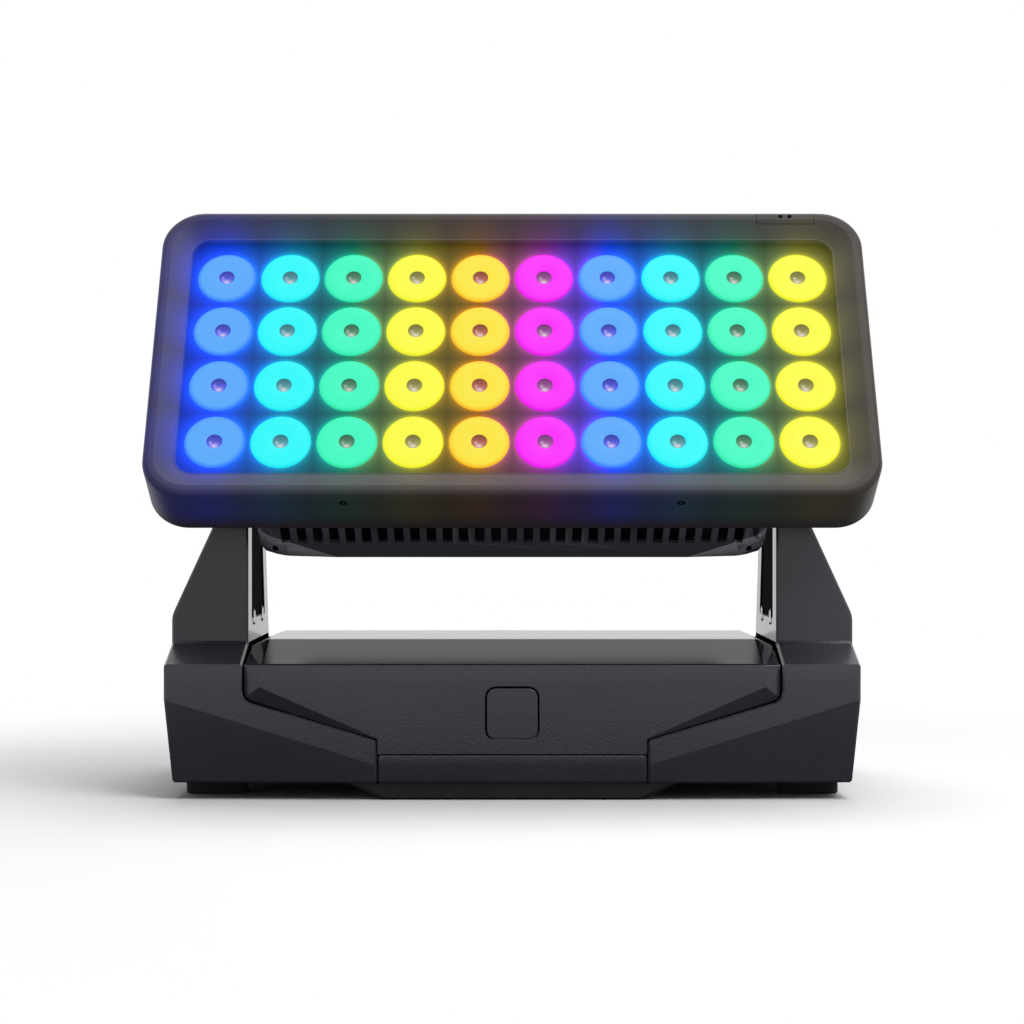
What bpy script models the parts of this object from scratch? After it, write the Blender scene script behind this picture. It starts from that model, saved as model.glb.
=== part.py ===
"""A wash light with forty lenses on a tilting head, carried between the two arms of a wide floor base.

Metres, +Z up. The origin is under the middle of the base. The lit face looks along -Y and is tilted back.
"""

from math import acos, atan2, cos, pi, radians, sin, sqrt, tan

import bmesh
import bpy
from mathutils import Matrix, Vector

# Fits shared by all pieces
SEAT_GAP = 0.0003
PANEL_GAP = 0.0008
RUN_GAP = 0.0005
SKIN = 0.0035
EDGE_ROUND = 0.0018

# Base
BASE_WIDTH = 0.5872
BASE_DEPTH = 0.2620
BASE_UNDERSIDE = 0.0147
SHOULDER_HEIGHT = 0.1147
TOP_HEIGHT = 0.1337
TOP_FLAT_DEPTH = 0.1476
TOP_FLAT_WIDTH = 0.4230
LOWER_DRAFT = radians(8)
SIDE_DRAFT = 0.0061

# Wings of the end blocks, which reach under the front panel
WING_INNER_X = 0.1143
WING_INNER_HEIGHT = 0.0514
WING_SLOPE = 0.296
WING_CORNER = 0.010
CREASE_DROP = 0.0210
CREASE_SLOPE = 0.3086
LOWER_PANEL_HEIGHT = 0.0241

# Front panel and its square pad
PANEL_DEPTH = 0.0100
REAR_WALL = 0.0030
CHAMFER_OUTER_RISE = 0.0156
CHAMFER_INNER_RISE = 0.0050
PANEL_EDGE_CHAMFER = 0.0144
PANEL_EDGE_DEPTH = 0.0065
PAD_SIZE = 0.0427
PAD_HEIGHT = 0.0738
PAD_CORNER = 0.0075
PAD_PROUD = 0.0008
PAD_GROOVE = 0.0016
PAD_POCKET = 0.0020

# Arms
SPAN_INSIDE = 0.4556
ARM_UPPER_THICKNESS = 0.0302
ARM_FRONT_FORWARD = 0.0550
ARM_SADDLE_HEIGHT = 0.1308
ARM_REAR_FOOT = 0.0865
ARM_KNEE_HEIGHT = 0.1544
ARM_KNEE_TAPER = 0.4604
ARM_KNEE_ROUND = 0.0200
ARM_KNEE_TOP_ROUND = 0.0100
INNER_COVER = 0.0035
COVER_POCKET_DEPTH = 0.0020
COVER_POCKET_FRONT = 0.0280
COVER_POCKET_WIDTH = 0.1060
COVER_POCKET_FOOT = 0.1502
COVER_POCKET_HEIGHT = 0.1150
COVER_POCKET_TAPER = 0.0300
COVER_POCKET_ROUND = 0.0030
TOP_COVER_WALL = 0.0070
TOP_HOLLOW_MARGIN = 0.0350

# Feet and the plate under the base
FOOT_WIDTH = 0.0520
FOOT_LENGTH = 0.0300
FOOT_SET_BACK = 0.0500
FOOT_SIDE_SET_BACK = 0.0118
FOOT_TAPER = 0.0015
FOOT_CORNER = 0.0050
PLATE_WIDTH = 0.2834
PLATE_TAPER = 0.0267
PLATE_DEPTH = 0.2500
PLATE_END_TAPER = 0.0040
PLATE_CLEAR = 0.0015
PLATE_CORNER = 0.0080
BRACKET_SPACING_X = 0.1800
BRACKET_SPACING_Y = 0.0900
BRACKET_HOLE = 0.0050

# Pivot and rest pose of the head
PIVOT_FORWARD = 0.0280
PIVOT_HEIGHT = 0.3242
PIVOT_BEHIND_RIM = 0.1150
REST_ELEVATION = radians(30.4)

# Frame round the lit face
HEAD_WIDTH = 0.6080
HEAD_HEIGHT = 0.2890
FRAME_DEPTH = 0.0560
FRAME_CORNER = 0.0360
FRAME_WALL = 0.0035
CORNER_SHRINK = 0.8
RIM_EDGE = 0.0015
RIM_SIDE = 0.0050
RIM_STRIP = 0.0090
RIM_FALL = 0.0005
RIM_INNER_DEPTH = 0.0070
FUNNEL_WIDTH = 0.0160
FUNNEL_DEPTH = 0.0085
LIP_WIDTH = 0.0012
LIP_DEPTH = 0.0157
TAB_X = 0.2384
TAB_WIDTH = 0.0500
TAB_START = 0.0020
TAB_END = 0.0125
TAB_SEAT = 0.0016
TAB_PROUD = 0.0004

# Lenses
LENS_COLUMNS = 10
LENS_ROWS = 4
LENS_PITCH = 0.0550
LENS_ROW_PITCH = 0.0559
LENS_DIAMETER = 0.0495
LENS_SET_BACK = 0.0150
DIMPLE_DIAMETER = 0.0134
DIMPLE_DEPTH = 0.0040
DIMPLE_TAPER = 0.0020
WEB_THICKNESS = 0.0030
WEB_MARGIN = 0.0015
COLLIMATOR_BACK = 0.0070
LENS_PLATE = 0.0040
LENS_PLATE_SET_BACK = 0.0160
LENS_CLEARANCE = 0.0007

# Boards, heat sink and casing of the head
SINK_FACE = 0.0440
SINK_PLATE = 0.0060
BOARD = 0.0020
SINK_MARGIN = 0.0200
EMITTER_HEIGHT = 0.0012
FIN_THICKNESS = 0.0030
FIN_LENGTH = 0.0600
FIN_HEIGHT = 0.2160
FIN_PITCH = 0.0200
FIN_COUNT = 20
SINK_CORNER = 0.0200
GASKET = 0.0009
GASKET_WIDTH = 0.0060
CASING_WIDTH = 0.4380
CASING_HEIGHT = 0.2500
CASING_END = 0.1384
CASING_CORNER = 0.0120
CASING_WALL = 0.0030
VENT_PITCH = 0.01382
VENT_WIDTH = 0.0082
VENT_COUNT = 29
TOP_VENT_PITCH = 0.0240
TOP_VENT_COUNT = 16
VENT_START = 0.0680
VENT_END = 0.1135
REAR_END = 0.1850
REAR_WIDTH = 0.3740
REAR_HEIGHT = 0.1840
CORNER_FACET_START = 0.0620
CORNER_FACET_ALONG = 0.0430
CORNER_FACET_DEEP = 0.0240
CORNER_FACET_RISE = 0.0060

# Cooling fans
FAN_SIZE = 0.1200
FAN_DEPTH = 0.0250
FAN_CORNER = 0.0060
FAN_SPACING = 0.2000
FAN_BORE = 0.0565
FAN_TIP = 0.0525
FAN_HUB = 0.0190
FAN_BLADES = 5
BLADE_THICKNESS = 0.0020
BLADE_ROOT_PITCH = radians(48)
BLADE_TIP_PITCH = radians(28)
BLADE_ROOT_CHORD = 0.0200
BLADE_TIP_CHORD = 0.0300
HUB_EDGE = 0.0020
FAN_STRUT = 0.0040
GRILLE_PITCH = 0.0130
GRILLE_SLOT = 0.0070

# Tilt drive
TRUNNION_FLANGE = 0.0210
TRUNNION_FLANGE_THICKNESS = 0.0050
SHAFT_RADIUS = 0.0150
SHAFT_BORE = 0.0090
BEARING_RADIUS = 0.0235
BEARING_WIDTH = 0.0090
BEARING_SEAT_WALL = 0.0045
BEARING_SEAT_PROUD = 0.0016
PULLEY_WIDTH = 0.0090
HEAD_PULLEY_RADIUS = 0.0360
MOTOR_PULLEY_RADIUS = 0.0090
PULLEY_FLANGE = 0.0025
PULLEY_FLANGE_THICKNESS = 0.0010
BELT_THICKNESS = 0.0018
BELT_WIDTH = 0.0060
MOTOR_HEIGHT = 0.0750
MOTOR_SIZE = 0.0570
MOTOR_CORNER = 0.0060
MOTOR_LENGTH = 0.0500
MOTOR_SHAFT = 0.0040
MOTOR_BRACKET = 0.0030

# Rear panel fittings
SOCKET_HEIGHT = 0.0880
SOCKET_INNER_X = 0.0950
SOCKET_STEP_X = 0.0420
SOCKET_FLANGE_WIDTH = 0.0260
SOCKET_FLANGE_HEIGHT = 0.0310
SOCKET_FLANGE = 0.0020
SOCKET_CORNER = 0.0030
SOCKET_BARREL = 0.0118
SOCKET_BORE = 0.0095
SOCKET_BORE_DEPTH = 0.0140
SOCKET_BACK = 0.0220
WINDOW_WIDTH = 0.0600
WINDOW_HEIGHT = 0.0260
WINDOW_CENTRE = 0.0900
WINDOW_THICKNESS = 0.0020
WINDOW_LEDGE = 0.0025
BUTTON_RADIUS = 0.0050
BUTTON_SPACING = 0.0170
BUTTON_HEIGHT = 0.0600
BUTTON_COUNT = 4
BUTTON_PROUD = 0.0026
BUTTON_EDGE = 0.0008
BUTTON_FLANGE = 0.0015
BUTTON_TRAVEL = 0.0012
EYE_ROD = 0.0040
EYE_WIDTH = 0.0340
EYE_REACH = 0.0240
EYE_HEIGHT = 0.0330

# Inside the base
PAN_WALL_HEIGHT = 0.0180
PAN_CORNER = 0.0060
SUPPLY_LENGTH = 0.2200
SUPPLY_WIDTH = 0.0950
SUPPLY_HEIGHT = 0.0500
SUPPLY_RIBS = 6
SUPPLY_RIB_HEIGHT = 0.0150
SUPPLY_X = -0.0900
CONTROL_LENGTH = 0.1500
CONTROL_HEIGHT = 0.0670
CONTROL_PILLAR = 0.0080
SWITCH_SIZE = 0.0060

# Facets of round shapes, and the distance within which points become one
FEW_STEPS = 2
CORNER_STEPS = 4
SHELL_STEPS = 3
FRAME_STEPS = 5
ARM_STEPS = 12
ROUND_STEPS = 16
SHAFT_STEPS = 12
BELT_STEPS = 18
SMALL_STEPS = 10
DIMPLE_STEPS = 5
LENS_STEPS = 12
CONE_STEPS = 6
BEND_STEPS = 10
WELD = 0.00005
CUTTER_REACH = 0.5

# Values worked out from the sizes above
HALF_WIDTH = BASE_WIDTH / 2
HALF_DEPTH = BASE_DEPTH / 2
HALF_SPAN = SPAN_INSIDE / 2
ARM_OUTER_X = HALF_SPAN + ARM_UPPER_THICKNESS
PIVOT = Vector((0, -PIVOT_FORWARD, PIVOT_HEIGHT))
KNEE_TOP = ARM_KNEE_HEIGHT + (HALF_WIDTH - ARM_OUTER_X) / ARM_KNEE_TAPER
CREASE_HEIGHT = WING_INNER_HEIGHT - CREASE_DROP
LOWER_PANEL_TOP = BASE_UNDERSIDE + LOWER_PANEL_HEIGHT
COVER_BACK_X = HALF_SPAN + INNER_COVER
BEARING_X = COVER_BACK_X + SEAT_GAP
PULLEY_X = BEARING_X + BEARING_WIDTH + BEARING_SEAT_PROUD + RUN_GAP
LED_BOARD_FRONT = SINK_FACE - SEAT_GAP - BOARD
SIDES = (("left", -1), ("right", 1))


def clear_scene():
    """Removes every object, so that the model starts from an empty scene."""
    for obj in list(bpy.data.objects):
        bpy.data.objects.remove(obj, do_unlink=True)


def linear(hex_colour):
    """An sRGB hex colour as linear RGBA."""
    channels = [int(hex_colour[i : i + 2], 16) / 255 for i in (0, 2, 4)]
    return [c / 12.92 if c <= 0.04045 else ((c + 0.055) / 1.055) ** 2.4 for c in channels] + [1]


def finish(name, hex_colour, roughness, metallic=0.0, glow=0.0, alpha=1.0):
    """A Principled material; a lit one glows in its own colour."""
    material = bpy.data.materials.new(name)
    material.use_nodes = True
    shader = material.node_tree.nodes["Principled BSDF"]
    shader.inputs["Base Color"].default_value = linear(hex_colour)
    shader.inputs["Roughness"].default_value = roughness
    shader.inputs["Metallic"].default_value = metallic
    shader.inputs["Emission Color"].default_value = linear(hex_colour)
    shader.inputs["Emission Strength"].default_value = glow
    shader.inputs["Alpha"].default_value = alpha
    return material


def collection(name):
    made = bpy.data.collections.new(name)
    bpy.context.scene.collection.children.link(made)
    return made


clear_scene()
PARTS = collection("led_wash_light")
CUTTERS = collection("cutters")

MOULDED = finish("moulded_charcoal", "2B2A30", 0.55)
SATIN = finish("satin_charcoal", "26262B", 0.42)
CASTING = finish("painted_casting", "232328", 0.48, 0.2)
ALLOY = finish("bare_aluminium", "A9ABAE", 0.38, 1.0)
STEEL = finish("plated_steel", "B4B4B2", 0.3, 1.0)
RUBBER = finish("black_rubber", "121214", 0.85)
BLACK = finish("matt_black_plate", "0C0C0E", 0.6)
BOARD_GREEN = finish("board_laminate", "1D4B33", 0.5)
WINDOW = finish("tinted_window", "1B2228", 0.08, alpha=0.6)
LENS_COLOURS = ("3F8CFF", "27E0F2", "3BE0A0", "FFF01E", "FFA31F", "FF1FE8")
LENS_ORDER = (0, 1, 2, 3, 4, 5, 0, 1, 2, 3)


def add(name, mesh, material=None, parent=None, cutter=False):
    """Links a mesh as an object, as a piece with its material or as a hidden cutter."""
    obj = bpy.data.objects.new(name, mesh)
    (CUTTERS if cutter else PARTS).objects.link(obj)
    obj.parent = parent
    if material and not mesh.materials:
        mesh.materials.append(material)
    if cutter:
        obj.hide_render = True
        obj.display_type = "WIRE"
    return obj


def combine(obj, other, operation="DIFFERENCE"):
    """Cuts one object by another, joins them or keeps what they share."""
    modifier = obj.modifiers.new(operation.title() + "_" + other.name, "BOOLEAN")
    modifier.operation = operation
    modifier.solver = "EXACT"
    modifier.object = other
    return obj


def bevel(obj, width, segments=2, angle=radians(30)):
    """Rounds the edges that turn more than the angle, once the points that a cut left together are one."""
    weld = obj.modifiers.new("Weld", "WELD")
    weld.merge_threshold = WELD
    modifier = obj.modifiers.new("Rounded_edges", "BEVEL")
    modifier.width = width
    modifier.segments = segments
    modifier.limit_method = "ANGLE"
    modifier.angle_limit = angle
    return obj


def smooth(obj, angle=radians(35)):
    obj.data.shade_smooth()
    obj.data.set_sharp_from_angle(angle=angle)
    return obj


def mesh_of(bm, name):
    """Closes a bmesh into a mesh whose faces point out."""
    bmesh.ops.recalc_face_normals(bm, faces=bm.faces)
    mesh = bpy.data.meshes.new(name)
    bm.to_mesh(mesh)
    bm.free()
    return mesh


def rounded(corners, steps=CORNER_STEPS):
    """An outline through corners (a, b, radius), each radius drawn as an arc tangent to both sides."""
    outline = []
    for i, (a, b, radius) in enumerate(corners):
        corner = Vector((a, b))
        before = (Vector(corners[i - 1][:2]) - corner).normalized()
        after = (Vector(corners[(i + 1) % len(corners)][:2]) - corner).normalized()
        if radius <= 0:
            outline.append(tuple(corner))
            continue
        half = acos(max(-1, min(1, before.dot(after)))) / 2
        centre = corner + (before + after).normalized() * radius / sin(half)
        start = corner + before * radius / tan(half) - centre
        end = corner + after * radius / tan(half) - centre
        turn = start.angle_signed(end)
        for step in range(steps + 1):
            spoke = start.copy()
            spoke.rotate(Matrix.Rotation(-turn * step / steps, 2))
            outline.append(tuple(centre + spoke))
    return outline


def rectangle(half_a, half_b, radius=0.0, centre=(0, 0), steps=CORNER_STEPS):
    a, b = centre
    corners = [
        (a - half_a, b - half_b, radius),
        (a + half_a, b - half_b, radius),
        (a + half_a, b + half_b, radius),
        (a - half_a, b + half_b, radius),
    ]
    return rounded(corners, steps)


def inset(outline, distance):
    """The same outline drawn smaller: each side moves inwards by the distance and meets its neighbours."""
    area = sum(p[0] * q[1] - q[0] * p[1] for p, q in zip(outline, outline[1:] + outline[:1]))
    turn = 1 if area > 0 else -1
    moved = []
    for i, point in enumerate(outline):
        before = (Vector(point) - Vector(outline[i - 1])).normalized()
        after = (Vector(outline[(i + 1) % len(outline)]) - Vector(point)).normalized()
        first = Vector((-before.y, before.x)) * turn
        second = Vector((-after.y, after.x)) * turn
        moved.append(tuple(Vector(point) + (first + second) * distance / (1 + first.dot(second))))
    return moved


# How an outline's two axes and its thickness lie in space
AXES = {
    "X": Matrix(((0, 0, 1, 0), (1, 0, 0, 0), (0, 1, 0, 0), (0, 0, 0, 1))),
    "Y": Matrix(((1, 0, 0, 0), (0, 0, -1, 0), (0, 1, 0, 0), (0, 0, 0, 1))),
    "Z": Matrix.Identity(4),
}


def prism_mesh(name, outline, low, high, axis):
    """A flat outline with thickness from low to high along an axis, made as a filled 2D curve."""
    curve = bpy.data.curves.new(name, "CURVE")
    curve.dimensions = "2D"
    curve.fill_mode = "BOTH"
    curve.extrude = (high - low) / 2
    spline = curve.splines.new("POLY")
    spline.points.add(len(outline) - 1)
    for point, (a, b) in zip(spline.points, outline):
        point.co = (a, b, 0, 1)
    spline.use_cyclic_u = True
    flat = bpy.data.objects.new(name, curve)
    PARTS.objects.link(flat)
    bpy.context.view_layer.update()
    solid = flat.evaluated_get(bpy.context.evaluated_depsgraph_get())
    bm = bmesh.new()
    bm.from_mesh(bpy.data.meshes.new_from_object(solid))
    bpy.data.objects.remove(flat, do_unlink=True)
    bmesh.ops.remove_doubles(bm, verts=bm.verts, dist=1e-6)
    bmesh.ops.transform(bm, matrix=AXES[axis], verts=bm.verts)
    shift = Vector([(low + high) / 2 if letter == axis else 0 for letter in "XYZ"])
    bmesh.ops.translate(bm, vec=shift, verts=bm.verts)
    return mesh_of(bm, name)


def prism(name, outline, low, high, axis, **options):
    return add(name, prism_mesh(name, outline, low, high, axis), **options)


def loft_mesh(name, rings, closed=False):
    """A skin from ring to ring with capped ends, or a closed loop of rings."""
    bm = bmesh.new()
    loops = [[bm.verts.new(point) for point in ring] for ring in rings]
    pairs = list(zip(loops, loops[1:]))
    if closed:
        pairs.append((loops[-1], loops[0]))
    else:
        bm.faces.new(loops[0])
        bm.faces.new(loops[-1])
    for one, two in pairs:
        for i in range(len(one)):
            j = (i + 1) % len(one)
            bm.faces.new((one[i], one[j], two[j], two[i]))
    return mesh_of(bm, name)


def turned(name, profile, steps, axis, centre=(0, 0, 0), **options):
    """A profile (radius, place along the axis) revolved about an axis; it runs down its outer side."""
    mesh = bpy.data.meshes.new(name)
    points = [(radius, 0, along) for radius, along in profile]
    edges = [(i, (i + 1) % len(points)) for i in range(len(points))]
    if profile[0][0] == 0:
        edges.pop()
    mesh.from_pydata(points, edges, [])
    obj = add(name, mesh, **options)
    screw = obj.modifiers.new("Revolve", "SCREW")
    screw.steps = steps
    screw.render_steps = steps
    screw.use_merge_vertices = True
    screw.merge_threshold = 0.00001
    obj.location = centre
    turns = {"X": (0, pi / 2, 0), "Y": (-pi / 2, 0, 0), "Z": (0, 0, 0)}
    obj.rotation_euler = turns[axis]
    return obj


def cylinders(name, places, radius, low, high, axis, steps, tip=None, **options):
    """Round bars from low to high along an axis, one at each place; they narrow to the tip radius."""
    bm = bmesh.new()
    for a, b in places:
        made = bmesh.ops.create_cone(
            bm, cap_ends=True, segments=steps, radius1=radius, radius2=radius if tip is None else tip,
            depth=high - low,
        )
        matrix = AXES[axis] @ Matrix.Translation((a, b, 0))
        bmesh.ops.transform(bm, matrix=matrix, verts=made["verts"])
    shift = Vector([(low + high) / 2 if letter == axis else 0 for letter in "XYZ"])
    bmesh.ops.translate(bm, vec=shift, verts=bm.verts)
    return add(name, mesh_of(bm, name), **options)


def blocks(name, boxes, **options):
    """Boxes, each given by its lowest and highest corner."""
    bm = bmesh.new()
    for low, high in boxes:
        size = Vector(high) - Vector(low)
        matrix = Matrix.Translation((Vector(low) + Vector(high)) / 2) @ Matrix.Diagonal((*size, 1))
        bmesh.ops.create_cube(bm, size=1, matrix=matrix)
    return add(name, mesh_of(bm, name), **options)


def half_space(name, point, normal, parent=None):
    """A large block with one face through the point, on the side that the normal points to."""
    normal = Vector(normal).normalized()
    bm = bmesh.new()
    bmesh.ops.create_cube(bm, size=2 * CUTTER_REACH)
    obj = add(name, mesh_of(bm, name), parent=parent, cutter=True)
    obj.location = Vector(point) + normal * CUTTER_REACH
    obj.rotation_euler = normal.to_track_quat("Z", "Y").to_euler()
    return obj


# Base: outlines


def arm_outline():
    """End block and arm from the side, as (Y, Z): the rear edge runs tangent to the round top."""
    centre = Vector((PIVOT.y, PIVOT.z))
    foot = Vector((ARM_REAR_FOOT, ARM_SADDLE_HEIGHT))
    away = foot - centre
    lean = atan2(away.y, away.x) + acos(ARM_FRONT_FORWARD / away.length)
    outline = rounded(
        [
            (-HALF_DEPTH, -BASE_UNDERSIDE, 0),
            (-HALF_DEPTH, SHOULDER_HEIGHT, 0),
            (PIVOT.y - ARM_FRONT_FORWARD, ARM_SADDLE_HEIGHT, 0),
            (PIVOT.y - ARM_FRONT_FORWARD, PIVOT.z, 0),
        ]
    )
    for step in range(1, ARM_STEPS + 1):
        angle = pi + (lean - pi) * step / ARM_STEPS
        outline.append(tuple(centre + ARM_FRONT_FORWARD * Vector((cos(angle), sin(angle)))))
    outline += [tuple(foot), (HALF_DEPTH, SHOULDER_HEIGHT), (HALF_DEPTH, -BASE_UNDERSIDE)]
    return outline


def above(outline, height):
    """The part of an outline that lies above a height, closed by a level foot."""
    kept = []
    for here, there in zip(outline, outline[1:] + outline[:1]):
        if here[1] > height:
            kept.append(here)
        if (here[1] > height) != (there[1] > height):
            share = (height - here[1]) / (there[1] - here[1])
            kept.append((here[0] + (there[0] - here[0]) * share, height))
    return kept


def wing_height(x):
    """Height of the slanting joint between wing and front panel."""
    return WING_INNER_HEIGHT + (abs(x) - WING_INNER_X) * WING_SLOPE


def side_outline(side):
    """End block, wing and arm from the front, as (X, Z)."""
    top = PIVOT_HEIGHT + 2 * ARM_FRONT_FORWARD
    corners = [
        (WING_INNER_X, BASE_UNDERSIDE, 0),
        (WING_INNER_X, WING_INNER_HEIGHT, 0),
        (HALF_SPAN, wing_height(HALF_SPAN), WING_CORNER),
        (HALF_SPAN, top, 0),
        (ARM_OUTER_X, top, 0),
        (ARM_OUTER_X, KNEE_TOP, ARM_KNEE_TOP_ROUND),
        (HALF_WIDTH, ARM_KNEE_HEIGHT, ARM_KNEE_ROUND),
        (HALF_WIDTH, crease_height(HALF_WIDTH), 0),
        (HALF_WIDTH - SIDE_DRAFT, BASE_UNDERSIDE, 0),
    ]
    return rounded([(side * x, z, r) for x, z, r in corners], SHELL_STEPS)


def crease_height(x):
    """Height of the line below which the lower facet leans in."""
    return CREASE_HEIGHT + (abs(x) - WING_INNER_X) * CREASE_SLOPE


def facet_cutter(name, side, end, depth):
    """The block that cuts the lower facet on one wing, at the front (end -1) or the rear (end 1)."""
    along = Vector((side, 0, CREASE_SLOPE)).normalized()
    down = Vector((side * CREASE_SLOPE, 0, -1)).normalized()
    fall = down * cos(LOWER_DRAFT) - Vector((0, end, 0)) * sin(LOWER_DRAFT)
    normal = along.cross(fall)
    normal *= -1 if normal.y * end < 0 else 1
    return half_space(name, (side * WING_INNER_X, end * depth, CREASE_HEIGHT), normal)


def make_side_shell(label, side):
    """End block, front and rear wings and arm, moulded as one hollow shell that is open inwards and below."""
    name = label + "_side_shell"
    low, high = sorted((side * WING_INNER_X, side * HALF_WIDTH))
    shell = prism(name, side_outline(side), -HALF_DEPTH, HALF_DEPTH, "Y", material=MOULDED)
    profile = prism(name + "_profile", arm_outline(), low - SKIN, high + SKIN, "X", cutter=True)
    combine(shell, profile, "INTERSECT")
    for end in (-1, 1):
        combine(shell, facet_cutter(f"{name}_facet_{end}", side, end, HALF_DEPTH))
    bevel(shell, EDGE_ROUND, 1)
    hollow_outline = inset(arm_outline(), SKIN)
    core = prism(name + "_core", side_core_outline(side), -HALF_DEPTH, HALF_DEPTH, "Y", cutter=True)
    inner = prism(name + "_inner", hollow_outline, low - SKIN, high + SKIN, "X", cutter=True)
    combine(core, inner, "INTERSECT")
    for end in (-1, 1):
        combine(core, facet_cutter(f"{name}_core_facet_{end}", side, end, HALF_DEPTH - SKIN))
    combine(shell, core)
    mouth_low, mouth_high = sorted((side * (WING_INNER_X - SKIN), side * (COVER_BACK_X + SEAT_GAP)))
    mouth = prism(name + "_mouth", hollow_outline, mouth_low, mouth_high, "X", cutter=True)
    for end in (-1, 1):
        combine(mouth, facet_cutter(f"{name}_mouth_facet_{end}", side, end, HALF_DEPTH - SKIN))
    combine(shell, mouth)
    return smooth(shell)


def side_core_outline(side):
    """Inside of the end block and arm from the front: the outer faces moved in by the skin."""
    corners = [
        (WING_INNER_X - SKIN, -BASE_UNDERSIDE),
        (WING_INNER_X - SKIN, wing_height(HALF_SPAN)),
        (HALF_SPAN, PIVOT_HEIGHT + ARM_FRONT_FORWARD),
        (ARM_OUTER_X - SKIN, PIVOT_HEIGHT + ARM_FRONT_FORWARD),
        (ARM_OUTER_X - SKIN, KNEE_TOP - SKIN / 2),
        (HALF_WIDTH - SKIN, ARM_KNEE_HEIGHT - SKIN),
        (HALF_WIDTH - SKIN, crease_height(HALF_WIDTH)),
        (HALF_WIDTH - SKIN - SIDE_DRAFT, BASE_UNDERSIDE),
        (HALF_WIDTH - SKIN - SIDE_DRAFT, -BASE_UNDERSIDE),
    ]
    return [(side * x, z) for x, z in corners]


def make_arm_cover(label, side):
    """Inner cover of an arm, with a sunk panel, a hole for the shaft and the seat of its bearing."""
    name = label + "_arm_cover"
    outline = above(inset(arm_outline(), SKIN + SEAT_GAP), ARM_SADDLE_HEIGHT + SEAT_GAP)
    low, high = sorted((side * HALF_SPAN, side * COVER_BACK_X))
    cover = prism(name, outline, low, high, "X", material=SATIN)
    centre = (PIVOT.y, PIVOT.z)
    seat_low, seat_high = sorted((side * (COVER_BACK_X - SKIN / 2), side * (BEARING_X + BEARING_WIDTH)))
    seat = BEARING_RADIUS + BEARING_SEAT_WALL
    boss = cylinders(name + "_boss", [centre], seat, seat_low, seat_high, "X", ROUND_STEPS, cutter=True)
    combine(cover, boss, "UNION")
    bore_low, bore_high = sorted((side * (COVER_BACK_X + SEAT_GAP / 2), side * ARM_OUTER_X))
    bore = BEARING_RADIUS + SEAT_GAP
    cut = cylinders(name + "_bore", [centre], bore, bore_low, bore_high, "X", ROUND_STEPS, cutter=True)
    combine(cover, cut)
    hole_low, hole_high = sorted((side * (HALF_SPAN - SKIN), side * ARM_OUTER_X))
    hole = SHAFT_RADIUS + BEARING_SEAT_WALL
    cut = cylinders(name + "_hole", [centre], hole, hole_low, hole_high, "X", ROUND_STEPS, cutter=True)
    combine(cover, cut)
    front = PIVOT.y - ARM_FRONT_FORWARD + COVER_POCKET_FRONT
    rear = front + COVER_POCKET_WIDTH
    top = COVER_POCKET_FOOT + COVER_POCKET_HEIGHT
    pocket_outline = [
        (front, COVER_POCKET_FOOT, COVER_POCKET_ROUND),
        (rear, COVER_POCKET_FOOT, COVER_POCKET_ROUND),
        (rear - COVER_POCKET_TAPER, top, COVER_POCKET_ROUND),
        (front, top, COVER_POCKET_ROUND),
    ]
    low, high = sorted((side * (HALF_SPAN - SKIN), side * (HALF_SPAN + COVER_POCKET_DEPTH)))
    pocket = rounded(pocket_outline, FEW_STEPS)
    combine(cover, prism(name + "_pocket", pocket, low, high, "X", cutter=True))
    return smooth(cover)


# Base: central body


def cover_section(drop):
    """Top cover from the side, as (Y, Z), with its top and ends drawn in by the drop."""
    foot = SHOULDER_HEIGHT + SEAT_GAP
    edge = HALF_DEPTH - drop
    flat = TOP_FLAT_DEPTH / 2
    return [(-edge, foot), (edge, foot), (flat, TOP_HEIGHT - drop), (-flat, TOP_HEIGHT - drop)]


def make_top_cover():
    """Flat top with sloping front and rear, and chamfered ends against the arms."""
    end = HALF_SPAN - PANEL_GAP
    flat = TOP_FLAT_WIDTH / 2
    sections = ((-end, PANEL_EDGE_DEPTH), (-flat, 0), (flat, 0), (end, PANEL_EDGE_DEPTH))
    rings = [[(x, y, z) for y, z in cover_section(drop)] for x, drop in sections]
    cover = add("top_cover", loft_mesh("top_cover", rings), material=MOULDED)
    bevel(cover, EDGE_ROUND, 1, radians(12))
    hollow = [
        (TOP_HOLLOW_MARGIN - HALF_DEPTH, SHOULDER_HEIGHT - SKIN),
        (HALF_DEPTH - TOP_HOLLOW_MARGIN, SHOULDER_HEIGHT - SKIN),
        (TOP_FLAT_DEPTH / 2, TOP_HEIGHT - TOP_COVER_WALL - SKIN),
        (-TOP_FLAT_DEPTH / 2, TOP_HEIGHT - TOP_COVER_WALL - SKIN),
    ]
    reach = end - TOP_COVER_WALL
    combine(cover, prism("top_cover_hollow", hollow, -reach, reach, "X", cutter=True))
    return smooth(cover)


def panel_corners(foot):
    """Corners (X, Z, radius) of the front or rear panel, which fits between the blocks and over the wings."""
    inner = WING_INNER_X - PANEL_GAP
    outer = HALF_SPAN - PANEL_GAP
    top = SHOULDER_HEIGHT
    lift = PANEL_GAP / cos(atan2(WING_SLOPE, 1))
    corners = [
        (inner, foot, 0),
        (inner, wing_height(inner) + lift, 0),
        (outer, wing_height(outer) + lift, WING_CORNER - PANEL_GAP),
        (outer, top, 0),
    ]
    return corners + [(-x, z, r) for x, z, r in reversed(corners)]


def panel_hollow(corners):
    """The hollow behind a panel stays clear of its facets."""
    return inset([(x, z) for x, z, _ in corners], PANEL_EDGE_CHAMFER + SKIN / 2)


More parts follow.
